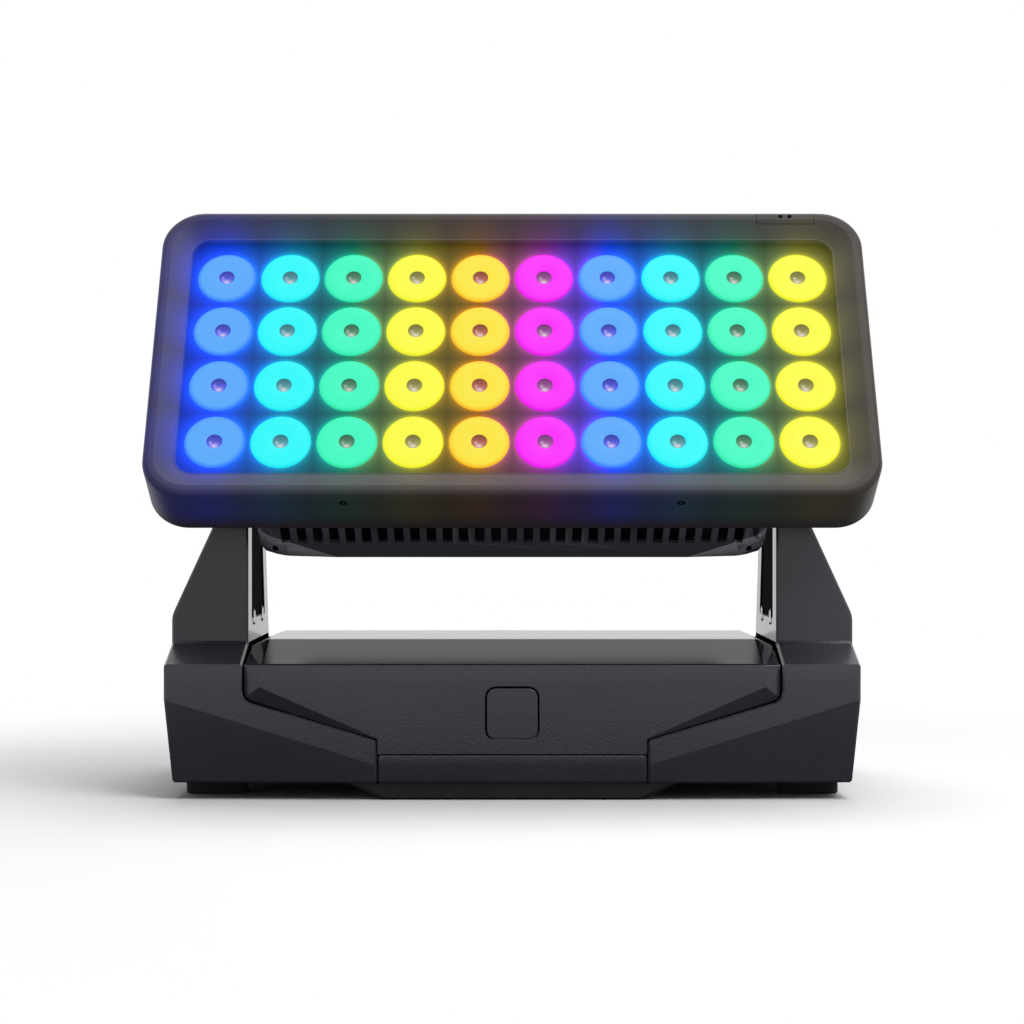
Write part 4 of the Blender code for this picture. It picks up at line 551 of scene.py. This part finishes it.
def painted_facet_highlights(material):
    """Painted light on the slanting facets: they are painted paler than the rest, standing in for the
    light they catch, and their upper edges carry a painted highlight. A place is on a facet where it lies
    beyond the slanting line, on the casing and near its underside."""
    tree = material.node_tree
    base = tree.nodes["Principled BSDF"].inputs["Base Color"]
    place = add_node(tree, "TexCoord").outputs["Object"]
    depth = along_line(tree, place, DEPTH_ALONG)
    depth = calculated(tree, "SUBTRACT", depth, RIM_DEPTH + SLANT_START[1])
    depth = calculated(tree, "MULTIPLY", depth, SLANT_ALONG[0])
    wide = calculated(tree, "ABSOLUTE", add_node(tree, "SeparateXYZ", {0: place}).outputs["X"])
    wide = calculated(tree, "SUBTRACT", wide, SLANT_START[0])
    past = calculated(tree, "MULTIPLY_ADD", wide, -SLANT_ALONG[1], depth)
    low = calculated(tree, "LESS_THAN", along_line(tree, place, UP_ALONG), MIDDLE_UP + FACET_TOP)
    front = calculated(tree, "LESS_THAN", depth, FACET_NEAR)
    under = calculated(tree, "MULTIPLY", low, front)
    beyond = calculated(tree, "MULTIPLY", calculated(tree, "GREATER_THAN", past, 0.0), under)
    near = calculated(tree, "COMPARE", past, FACET_EDGE, FACET_EDGE_HALF)
    near = calculated(tree, "MULTIPLY", near, under)
    # Painted light: a paler tone on the facets and a bright painted highlight along their upper edges.
    facet = mixed(tree, beyond, base.links[0].from_socket, linear("A09EA8"))
    tree.links.new(mixed(tree, near, facet, linear("D8D6DC")), base)


# Painted die casting: dark grey, fine orange peel, satin.
casting = grained("painted die casting", "52505A", "5A5862", 0.42, 0.0012, 0.00006, ior=1.5, specular=0.4)
# The casting carries painted light: paler slanting facets with painted bright edges.
painted_facet_highlights(casting)
eased("head_casing", "head_slotted_casing", casting, "head",
      edge=0.0005, least=LEAST_CASTING_CREASE, cuts=slant_cuts, reshape=slanted)
eased("rear_cover", "head_rear_cover", casting, "head",
      edge=0.0006, least=LEAST_CASTING_CREASE, cuts=slant_cuts, reshape=slanted)

# Lit face
# Ten columns of four lenses stand in a matt black plate. Each column glows in one colour, and its light on
# the plate and the frame round it is painted into their materials as emission.
LENS_PITCH = 0.0550
ROW_PITCH = 0.0559
LENS_RADIUS = 0.02475
LENS_FACE = 0.0150
LENS_THICK = 0.0052
DIMPLE_RADIUS = 0.0067
DIMPLE_DEEP = 0.0040
PLATE_FACE = 0.0160
PLATE_BACK = 0.0200
PLATE_HOLE = 0.02545
HALO_REACH = 0.0018
# The depths between which the painted spill dies away on the frame's outer wall.
WALL_FADE = (0.0300, 0.0560)
# The face, the edge of the face, the painted halo close to it and the painted spill of light further off.
LENS_TONES = {
    "blue": ("5DACFD", "3F8CFF", "1B35FF", "0530B4"),
    "cyan": ("33FBFD", "22F4FA", "10A8B8", "004F73"),
    "green": ("45FBC6", "38F3B4", "12945C", "00533F"),
    "yellow": ("FDFD48", "FAFA2E", "A8A412", "535319"),
    "amber": ("FDE842", "FFC92A", "C8500F", "5D3F00"),
    "magenta": ("FD2BFE", "F41FF6", "A816A8", "591961"),
}
LENS_ORDER = ("blue", "cyan", "green", "yellow", "amber", "magenta", "blue", "cyan", "green", "yellow")
ROWS = 4
COLUMNS = len(LENS_ORDER)


def lens_field(tree, place):
    """Where a point lies on the lit face: its x, its distance from the nearest lens centre,
    and how far it lies above that centre."""
    height = calculated(tree, "SUBTRACT", along_line(tree, place, UP_ALONG), MIDDLE_UP)
    across = add_node(tree, "SeparateXYZ", {0: place}).outputs["X"]
    squares = []
    for value, pitch, count in ((across, LENS_PITCH, COLUMNS), (height, ROW_PITCH, ROWS)):
        half = (count - 1) / 2 * pitch
        inside = add_node(tree, "Clamp", {"Value": value, "Min": -half, "Max": half}).outputs[0]
        past = calculated(tree, "SUBTRACT", value, inside)
        turned = calculated(tree, "SUBTRACT", inside, half)
        near = calculated(tree, "WRAP", turned, -pitch / 2, pitch / 2)
        offset = calculated(tree, "ADD", near, past)
        squares.append(calculated(tree, "MULTIPLY", offset, offset))
    distance = calculated(tree, "SQRT", calculated(tree, "ADD", *squares))
    return across, distance, offset


def add_painted_spill(material, strength, reach, halo):
    """Painted light: emission that stands in for the coloured light the lenses throw on what lies
    round them; its colour runs from column to column. The spill fades as exp(-d / reach) with the
    distance d from the nearest lens edge, and the halo as exp(-d / 1.8 mm); both end down the frame's outer
    wall."""
    tree = material.node_tree
    shader = tree.nodes["Principled BSDF"]
    place = add_node(tree, "TexCoord").outputs["Object"]
    across, distance, _ = lens_field(tree, place)
    along = calculated(tree, "MULTIPLY_ADD", across, 1 / (LENS_PITCH * COLUMNS), 0.5)
    past = calculated(tree, "MAXIMUM", calculated(tree, "SUBTRACT", distance, LENS_RADIUS), 0.0)
    depth = along_line(tree, place, DEPTH_ALONG)
    wall = faded(tree, depth, RIM_DEPTH + WALL_FADE[0], RIM_DEPTH + WALL_FADE[1], 1.0, 0.0)
    glows = []
    for tone_index, level, length in ((3, strength, reach), (2, halo, HALO_REACH)):
        colours = add_node(tree, "ValToRGB", {"Fac": along})
        ramp = colours.color_ramp
        while len(ramp.elements) < COLUMNS:
            ramp.elements.new(0.5)
        for i, tone in enumerate(LENS_ORDER):
            ramp.elements[i].position = (i + 0.5) / COLUMNS
            ramp.elements[i].color = linear(LENS_TONES[tone][tone_index])
        fade = calculated(tree, "EXPONENT", calculated(tree, "MULTIPLY", past, -1 / length))
        fade = calculated(tree, "MULTIPLY", fade, level)
        fade = calculated(tree, "MULTIPLY", fade, wall)
        glow = {0: colours.outputs["Color"], "Scale": fade}
        glows.append(add_node(tree, "VectorMath", glow, operation="SCALE").outputs[0])
    both = add_node(tree, "VectorMath", dict(enumerate(glows)), operation="ADD")
    tree.links.new(both.outputs[0], shader.inputs["Emission Color"])
    shader.inputs["Emission Strength"].default_value = 1.0


columns_x = (np.arange(COLUMNS) - (COLUMNS - 1) / 2) * LENS_PITCH
rows_v = (np.arange(ROWS) - (ROWS - 1) / 2) * ROW_PITCH

# Lens plate
# A flat aluminium plate, anodised black, with forty round holes.
PLATE_EDGE_X = 0.2790
PLATE_EDGE_V = 0.1195
HOLE_STEPS = 48
HOLE_EASE = 0.0004


def plate_grid():
    """Cells of the plate: in each the surface runs from the hole's circle out to the square
    of the cell at each angle, whose corners have angles of their own, and down the hole's
    wall to the same on the back."""
    made = []
    limits_x = np.concatenate([[-PLATE_EDGE_X], (columns_x[1:] + columns_x[:-1]) / 2, [PLATE_EDGE_X]])
    limits_v = np.concatenate([[-PLATE_EDGE_V], (rows_v[1:] + rows_v[:-1]) / 2, [PLATE_EDGE_V]])
    for i, x in enumerate(columns_x):
        for j, v in enumerate(rows_v):
            right, left = limits_x[i + 1] - x, x - limits_x[i]
            upper, lower = limits_v[j + 1] - v, v - limits_v[j]
            corner = np.arctan2([upper, upper, -lower, -lower], [right, -left, -left, right])
            turn = np.linspace(-pi, pi, HOLE_STEPS, endpoint=False) + pi / HOLE_STEPS
            turn = np.unique(np.round(np.concatenate([turn, corner]), 6))
            wide = np.where(np.cos(turn) > 0, right, left) / np.abs(np.cos(turn))
            high = np.where(np.sin(turn) > 0, upper, lower) / np.abs(np.sin(turn))
            square = np.minimum(wide, high)
            hole = np.full_like(turn, PLATE_HOLE)
            reach = np.array([square, hole + HOLE_EASE, hole, hole, square])
            depth = [PLATE_FACE, PLATE_FACE, PLATE_FACE + HOLE_EASE, PLATE_BACK, PLATE_BACK]
            depth = np.array(depth)[:, None]
            grid = on_head(x + reach * np.cos(turn), depth, v + reach * np.sin(turn))
            made.append(skin(grid, ring=True))
    return made


# Black-anodised plate: matt, slightly brushed; the lenses' light on it is painted in as emission.
plate_black = grained(
    "black-anodised plate", "0A0A0C", "0E0E11", 0.7, 0.0010, 0.00002, ior=1.5, specular=0.12,
)
add_painted_spill(plate_black, strength=2.4, reach=0.0170, halo=0.9)
plate_mesh = joined("lens_plate_forty_holes", plate_grid(), 30)
place_piece("lens_plate_forty_holes", plate_mesh, [plate_black], "head", ("lens_plate",))

# Lenses
# Injection-moulded acrylic discs with an eased edge and a dimple over the emitter.
LENS_STEPS = 64
DIMPLE_STEPS = 9
LENS_EDGE = 0.0012
DIMPLE_LIP = 0.0004
LENS_FLANGE = 0.0253
FLANGE_FACE = 0.0022
POLE = 0.0002
FACE_GLOW = 0.97
# Shares of the radius over which the face deepens and its rim turns towards the halo.
DEEPENING = (0.84, 1.04)
RIM_TURN = (0.972, 1.005)
HALO_SHARE = 0.15
# The dimple's glow at its foot and top, brighter at the foot and darker at the top as painted shade, the
# share of the halo in its tint, and the painted image of the emitter: its radius, its depth below the middle
# and its strength.
DIMPLE_GLOW_AND_PAINTED_SHADE = (1.5, 0.8)
DIMPLE_TINT = 0.48
DIMPLE_GREY = 0.045
EMITTER_RADIUS = 0.0028
EMITTER_DROP = 0.38
EMITTER_SHARE = 0.55


def lens_profile():
    """Radius and depth behind the rim from the middle of the dimple out over the face, round
    the eased edge, out to the flange that fills the plate's hole and across the back."""
    bowl = np.linspace(0.02, 1, DIMPLE_STEPS) * pi / 2
    edge = np.linspace(0, pi / 2, 5)
    radius = np.concatenate([
        DIMPLE_RADIUS * np.sin(bowl), [DIMPLE_RADIUS + DIMPLE_LIP, DIMPLE_RADIUS + 2 * DIMPLE_LIP],
        LENS_RADIUS - LENS_EDGE + LENS_EDGE * np.sin(edge), [LENS_RADIUS, LENS_FLANGE, LENS_FLANGE, POLE],
    ])
    depth = np.concatenate([
        LENS_FACE + DIMPLE_LIP + DIMPLE_DEEP * np.cos(bowl), [LENS_FACE + DIMPLE_LIP / 4, LENS_FACE],
        LENS_FACE + LENS_EDGE - LENS_EDGE * np.cos(edge), [LENS_FACE + FLANGE_FACE, LENS_FACE + FLANGE_FACE],
        [LENS_FACE + LENS_THICK, LENS_FACE + LENS_THICK],
    ])
    return radius, depth


def lens_skin(x, v):
    """One lens: its profile turned about the line through its middle, square to the lit face."""
    radius, depth = (values[:, None] for values in lens_profile())
    turn = np.linspace(0, 2 * pi, LENS_STEPS, endpoint=False)
    return skin(on_head(x + radius * np.cos(turn), depth, v + radius * np.sin(turn)))


def lit_acrylic(tone):
    """Acrylic lit from behind: the face glows evenly and a little deeper towards its edge."""
    face, edge, halo = (linear(code) for code in LENS_TONES[tone][:3])
    material, tree, shader, place = surface("lit acrylic, " + tone, 0.3, ior=1.49, specular=0.12)
    _, distance, _ = lens_field(tree, place)
    deeper = faded(tree, distance, *(LENS_RADIUS * share for share in DEEPENING))
    rim = faded(tree, distance, *(LENS_RADIUS * share for share in RIM_TURN))
    last = [(1 - HALO_SHARE) * a + HALO_SHARE * b for a, b in zip(edge, halo)]
    glow = mixed(tree, rim, mixed(tree, deeper, face, edge), last)
    tree.links.new(glow, shader.inputs["Emission Color"])
    shader.inputs["Emission Strength"].default_value = FACE_GLOW
    shader.inputs["Base Color"].default_value = linear("0A0A0C")
    return material


def dimple_acrylic(tone):
    """The dimple is clearer than the face: grey glass with a tint of the colour. Its glow is painted
    darker under its upper edge as shade, and a pale spot painted in its lower half as exp(-(d / r)^2) stands
    in for the emitter seen through it."""
    tint = [DIMPLE_TINT * a + DIMPLE_GREY for a in linear(LENS_TONES[tone][2])[:3]] + [1]
    material, tree, shader, place = surface("dimple acrylic, " + tone, 0.18, ior=1.49, specular=0.35)
    _, distance, rise = lens_field(tree, place)
    # Painted shade: the glow is dimmer towards the top of the dimple.
    shade = faded(tree, rise, -DIMPLE_RADIUS * 0.4, DIMPLE_RADIUS, *DIMPLE_GLOW_AND_PAINTED_SHADE)
    lower = calculated(tree, "ADD", rise, DIMPLE_RADIUS * EMITTER_DROP)
    outward = calculated(tree, "MULTIPLY", distance, distance)
    upward = calculated(tree, "MULTIPLY", rise, rise)
    sideways = calculated(tree, "SUBTRACT", outward, upward)
    square = calculated(tree, "MULTIPLY_ADD", lower, lower, sideways)
    # Painted image of the emitter: a pale spot below the middle of the dimple.
    painted_emitter_spot = calculated(tree, "EXPONENT", calculated(tree, "MULTIPLY", square, -1 / EMITTER_RADIUS ** 2))
    pale = [EMITTER_SHARE * a + (1 - EMITTER_SHARE) * b for a, b in zip(linear("C9BDBE"), tint)]
    tree.links.new(mixed(tree, painted_emitter_spot, tint, pale), shader.inputs["Emission Color"])
    tree.links.new(shade, shader.inputs["Emission Strength"])
    shader.inputs["Base Color"].default_value = linear("1C1B20")
    return material


lens_finishes = {tone: [lit_acrylic(tone), dimple_acrylic(tone)] for tone in LENS_TONES}
for number, (x, tone) in enumerate(zip(columns_x, LENS_ORDER), 1):
    name = f"lenses_{number:02d}"
    mesh = joined(name, [lens_skin(x, v) for v in rows_v], 60)
    place_piece(name, mesh, lens_finishes[tone], "head", (f"lens_column_{number:02d}",))
    per_lens = len(mesh.polygons) // len(rows_v)
    order = np.arange(len(mesh.polygons)) % per_lens
    dimple = (order < (DIMPLE_STEPS - 1) * LENS_STEPS) | (order == per_lens - 2)
    mesh.polygons.foreach_set("material_index", dimple.astype(np.int32))

# Front frame
# A die-cast frame under satin paint: outer wall, crowned rim strip, sloping funnel and the
# lip round the lit face.
FRAME_HALF_WIDTH = 0.3040
FRAME_HALF_HEIGHT = 0.1445
FRAME_CORNER = 0.0360
CORNER_SHRINK = 0.8
# Inset from the outer wall, depth behind the rim and rounding of each corner of the section.
FRAME_SECTION = (
    (0.0015, 0.0560, 0.0000), (0.0000, 0.0545, 0.0010), (0.0000, 0.0050, 0.0010), (0.0016, 0.0016, 0.0011),
    (0.0043, 0.0000, 0.0010), (0.0092, 0.0004, 0.0005), (0.0250, 0.0085, 0.0006), (0.0262, 0.0097, 0.0005),
    (0.0262, 0.0157, 0.0000), (0.0227, 0.0157, 0.0000), (0.0227, 0.0120, 0.0000), (0.0090, 0.0045, 0.0000),
    (0.0035, 0.0070, 0.0000), (0.0035, 0.0560, 0.0000),
)
FRAME_CORNER_STEPS = 24


def rounded_section(section):
    """The profile with its corners rounded: each corner with a reach becomes a short curve."""
    corners = np.array([(a, b) for a, b, reach in section])
    made = []
    for i, (_, _, reach) in enumerate(section):
        before, here, after = corners[i - 1], corners[i], corners[(i + 1) % len(corners)]
        made.append(rounded_corner(before, here, after, reach, 5) if reach else here[None])
    return np.concatenate(made)


def frame_outline(inset):
    """x and height of the outline at each inset: a rectangle with rounded corners, whose
    radius shrinks with the inset."""
    corner = FRAME_CORNER - CORNER_SHRINK * inset
    return rounded_ring(FRAME_HALF_WIDTH - inset, FRAME_HALF_HEIGHT - inset, corner, FRAME_CORNER_STEPS)


def frame_grid():
    """The section carried round the frame: each of its points follows its own outline."""
    section = rounded_section(FRAME_SECTION)
    x, v = frame_outline(section[:, :1])
    return on_head(x, section[:, 1:], v)


# Satin paint over a casting: charcoal, fine texture; the lenses' light on its inside is painted in as
# emission.
frame_paint = grained(
    "satin-painted casting", "3C363B", "423C42", 0.44, 0.0011, 0.00006, ior=1.5, specular=0.14,
)
add_painted_spill(frame_paint, strength=1.7, reach=0.0145, halo=0.3)
frame_mesh = joined("frame_of_head", [skin(frame_grid(), ring=True)], 40)
place_piece("frame_of_head", frame_mesh, [frame_paint], "head", ("front_frame",))

# Bead of the lip
# A thin grey silicone bead is pressed into the frame where the funnel ends.
BEAD_INSET = 0.0251
BEAD_DEPTH = 0.0083
BEAD_RADIUS = 0.0004
BEAD_STEPS = 8


def bead_grid():
    """A round wire carried round the frame at its inset and depth."""
    turn = np.linspace(0, 2 * pi, BEAD_STEPS, endpoint=False)[:, None]
    x, v = frame_outline(BEAD_INSET + BEAD_RADIUS * np.cos(turn))
    return on_head(x, BEAD_DEPTH + BEAD_RADIUS * np.sin(turn), v)


# Grey silicone: satin, so that it catches the light; the lenses' light on it is painted in as emission.
bead_grey = grained("grey silicone bead", "46444B", "4E4C53", 0.30, 0.0009, 0.00001, ior=1.43, specular=0.4)
add_painted_spill(bead_grey, strength=1.5, reach=0.0180, halo=0.3)
bead_mesh = joined("lip_bead", [skin(bead_grid(), ring=True)], 60)
place_piece("lip_bead", bead_mesh, [bead_grey], "head")

# Sensor cover
# A thin plate let into the upper rim and bent over into the funnel, with two small eyes. A black sheet a
# little wider than it lies just under its edge: a painted shadow of the gap round it.
COVER_MIDDLE = 0.2384
COVER_HALF = 0.0250
COVER_START = 0.0020
COVER_END = 0.0125
COVER_CORNER = 0.0024
COVER_PROUD = 0.00010
COVER_WALL = 0.0010
GAP_SHADOW_WIDTH = 0.0003
EYES = (0.2343, 0.2421)
EYE_INSET = 0.0060
EYE_RADIUS = 0.0016
EYE_DEEP = 0.0011


def cover_grid(margin, lift, columns=121, rows=45, eyes=True):
    """A plate that follows the frame's front: a rectangle with rounded corners in x and
    inset, whose depth is the frame's own at that inset less the lift. Each eye is a pit of
    depth D exp(-(d / r)^4) inside a low collar, exp(-((d - 1.5 r) / 0.4 r)^2) high."""
    half = COVER_HALF + margin
    start, end, corner = COVER_START - margin, COVER_END + margin, COVER_CORNER + margin
    inset = np.linspace(start, end, rows)[:, None]
    reach = np.clip(corner - (inset - start), 0, corner)
    width = half - corner + np.sqrt(corner ** 2 - reach ** 2)
    x = COVER_MIDDLE + width * np.linspace(-1, 1, columns)
    front = rounded_section(FRAME_SECTION[1:8])
    order = np.argsort(front[:, 0])
    depth = np.interp(inset, front[order, 0], front[order, 1]) - lift + 0 * x
    if eyes:
        for eye in EYES:
            far = np.hypot(x - eye, inset - EYE_INSET)
            collar = np.exp(-((far - 1.5 * EYE_RADIUS) / (0.4 * EYE_RADIUS)) ** 2)
            depth = depth + EYE_DEEP * np.exp(-(far / EYE_RADIUS) ** 4) - COVER_PROUD * collar
    return on_head(x, depth, FRAME_HALF_HEIGHT - inset + 0 * x)


def sheet_mesh(name, points):
    """An open sheet of quads over a grid of points, its face towards the front."""
    rows, columns = points.shape[:2]
    index = np.arange(rows * columns).reshape(rows, columns)
    quads = np.stack([index[:-1, :-1], index[1:, :-1], index[1:, 1:], index[:-1, 1:]], axis=-1)
    mesh = bpy.data.meshes.new(name)
    mesh.from_pydata(points.reshape(-1, 3), [], quads.reshape(-1, 4).tolist())
    mesh.shade_smooth()
    mesh.set_sharp_from_angle(angle=radians(40))
    return mesh


def give_wall(piece, thickness):
    """Gives a sheet its wall behind the face."""
    wall = piece.modifiers.new("wall", "SOLIDIFY")
    wall.thickness = thickness
    wall.offset = -1


cover_mesh = sheet_mesh("frame_sensor_cover", cover_grid(0, COVER_PROUD))
cover = place_piece("frame_sensor_cover", cover_mesh, [frame_paint], "head",
                    ("sensor_cover",))
give_wall(cover, COVER_WALL)
# Painted shadow: a black sheet just under the cover's edge and a little wider, standing for the gap's shade.
joint_and_gap_shadow_mesh = sheet_mesh("sensor_cover_gap_shadow", cover_grid(GAP_SHADOW_WIDTH, COVER_PROUD / 3, eyes=False))
joint = place_piece("sensor_cover_gap_shadow", joint_and_gap_shadow_mesh, [joint_foam_and_gap_shadow], "head")
give_wall(joint, COVER_WALL / 2)

# Socket screws
# Dome-headed screws with a six-sided socket, black-oxidised steel, turned in from outside:
# through the frame's lower wall, the rear cover, the plate under the base and the rear panel.
SCREW_STEPS = 24
# Radius of each kind of head, and how far it stands proud.
FRAME_HEAD = (0.0033, 0.0004)
CASING_HEAD = (0.0036, 0.0002)
COVER_HEAD = (0.0030, 0.0010)
SOCKET_SHARE = 0.42
# Places beside the middle of the object; those of the head have x, depth and height.
FRAME_SCREW = (0.1380, 0.0135, -0.1445)
CASING_SCREW = (0.2040, 0.1325, -0.1198)
COVER_SCREWS = ((0.1700, 0.0780), (0.1700, -0.0780), (0.0000, 0.0780), (0.0000, -0.0780))
COVER_BACK = 0.1850
PLATE_SCREWS = ((0.1000, 0.0950), (0.1000, -0.0950), (0.0000, 0.0950), (0.0000, -0.0950))
PLATE_FOOT = 0.0015
PANEL_SCREWS = ((0.2140, 0.1010), (0.0350, 0.1010), (0.0350, 0.0400))
PANEL_BACK = 0.1310


def screw_skin(centre, outward, radius, proud):
    """One screw: a dome of the radius that stands proud, with a six-sided socket sunk in it.
    The socket's outline is its half width over the cosine of the angle to the nearest flat."""
    turn = np.linspace(0, 2 * pi, SCREW_STEPS, endpoint=False)
    flat = SOCKET_SHARE * radius / np.cos((turn + pi / 6) % (pi / 3) - pi / 6)
    level = radius + 0 * turn
    reach = np.array([0.02 * level, flat, flat, 0.7 * level, level, level])[:, :, None]
    height = np.array([-0.6 * proud, -0.6 * proud, proud, 0.85 * proud, 0.1 * proud, -0.8 * radius])
    normal = np.array(outward) / np.linalg.norm(outward)
    first = np.cross(normal, (1, 0, 0))
    first = first / np.linalg.norm(first)
    second = np.cross(normal, first)
    ring = reach * (np.cos(turn)[:, None] * first + np.sin(turn)[:, None] * second)
    return skin(np.array(centre) + ring + height[:, None, None] * normal)


# Steel, oxidised black: dark, satin.
oxide = grained("black-oxidised steel", "1A1A1C", "242426", 0.38, 0.0006, 0.00001, metallic=1.0)
behind_axis = on_head(0, 1, 0) - on_head(0, 0, 0)
up_axis = on_head(0, 0, 1) - on_head(0, 0, 0)
head_screws = []
base_screws = []
for side in (-1, 1):
    # The middle screws of a row are made once, with the right side.
    count = 2 if side < 0 else 4
    for (x, w, v), head in ((FRAME_SCREW, FRAME_HEAD), (CASING_SCREW, CASING_HEAD)):
        head_screws.append(screw_skin(on_head(side * x, w, v), -up_axis, *head))
    for x, v in COVER_SCREWS[:count]:
        head_screws.append(screw_skin(on_head(side * x, COVER_BACK, v), behind_axis, *COVER_HEAD))
    for x, y in PLATE_SCREWS[:count]:
        base_screws.append(screw_skin((side * x, y, PLATE_FOOT), (0, 0, -1), *COVER_HEAD))
    for x, z in PANEL_SCREWS:
        base_screws.append(screw_skin((side * x, PANEL_BACK, z), (0, 1, 0), *COVER_HEAD))
place_piece("screws_of_head", joined("screws_of_head", head_screws, 30), [oxide], "head")
place_piece("screws_of_base", joined("screws_of_base", base_screws, 30), [oxide], "base")

# Floor
# A pale studio floor that keeps the shadow and runs out into the white of the background.
# Close to the object it looks darker to reflections and bounced light than to the camera, so
# that the lower faces of the base stay dark.
FLOOR_SIZE = 6.0
FADE_START = 0.38
FADE_END = 0.95
BOUNCE = 0.28


def rays_to_background(tree):
    """The kinds of ray, and whether one comes from the camera, a mirror image or glass."""
    rays = add_node(tree, "LightPath").outputs
    seen = calculated(tree, "MAXIMUM", rays["Is Camera Ray"], rays["Is Glossy Ray"])
    return rays, calculated(tree, "MAXIMUM", seen, rays["Is Transmission Ray"])


floor_mesh = bpy.data.meshes.new("floor")
corners = [(x * FLOOR_SIZE, y * FLOOR_SIZE, 0) for x, y in ((-1, -1), (1, -1), (1, 1), (-1, 1))]
floor_mesh.from_pydata(corners, [], [(0, 1, 2, 3)])
floor = bpy.data.objects.new("floor", floor_mesh)
bpy.context.scene.collection.objects.link(floor)
floor_material, tree, shader, place = surface("white studio floor", 0.9, specular=0.0)
rays, seen = rays_to_background(tree)
bounced = calculated(tree, "MULTIPLY_ADD", rays["Is Glossy Ray"], -BOUNCE, BOUNCE)
level = calculated(tree, "ADD", rays["Is Camera Ray"], bounced)
tree.links.new(mixed(tree, level, linear("505050"), linear("FCFCFC")), shader.inputs["Base Color"])
length = add_node(tree, "VectorMath", {0: place}, operation="LENGTH").outputs["Value"]
share = calculated(tree, "MULTIPLY", seen, faded(tree, length, FADE_START, FADE_END))
white = add_node(tree, "Emission", {"Color": (1, 1, 1, 1), "Strength": 1.0})
both = add_node(tree, "MixShader", {0: share, 1: shader.outputs[0], 2: white.outputs[0]})
tree.links.new(both.outputs[0], tree.nodes["Material Output"].inputs["Surface"])
floor_mesh.materials.append(floor_material)

# Lamps and the world
# A bright even room: white wherever the camera, a mirror image or glass looks past the object.
ROOM_LEVEL = 0.25
world = bpy.data.worlds.new("studio")
bpy.context.scene.world = world
world.use_nodes = True
tree = world.node_tree
tree.nodes.clear()
_, seen = rays_to_background(tree)
white = add_node(tree, "Background", {"Color": (1, 1, 1, 1), "Strength": 1.0})
room = add_node(tree, "Background", {"Color": (1, 1, 1, 1), "Strength": ROOM_LEVEL})
both = add_node(tree, "MixShader", {0: seen, 1: room.outputs[0], 2: white.outputs[0]})
add_node(tree, "OutputWorld", {"Surface": both.outputs[0]})


def soft_lamp(name, place, aim, width, height, watts):
    """A rectangular soft box at a place, turned to look at the aim point."""
    data = bpy.data.lights.new(name, "AREA")
    data.shape = "RECTANGLE"
    data.size = width
    data.size_y = height
    data.energy = watts
    lamp = bpy.data.objects.new(name, data)
    bpy.context.scene.collection.objects.link(lamp)
    lamp.location = place
    lamp.rotation_euler = (Vector(aim) - Vector(place)).to_track_quat("-Z", "Y").to_euler()


soft_lamp("overhead soft box", (0.2, 0.1, 2.3), (0, 0, 0.1), width=2.4, height=1.6, watts=33)
soft_lamp("right front soft box", (1.3, -1.5, 2.1), (0, 0, 0.15), width=1.4, height=1.2, watts=36)

# Camera
# Level, straight in front, a little below the middle of the head.
camera_data = bpy.data.cameras.new("camera")
camera_data.lens = 80.95
camera_data.sensor_width = 36
camera = bpy.data.objects.new("camera", camera_data)
bpy.context.scene.collection.objects.link(camera)
camera.location = (-0.0002, -2.069, 0.2436)
camera.rotation_euler = (pi / 2, 0, 0)
bpy.context.scene.camera = camera
bpy.context.scene.view_settings.view_transform = "Standard"
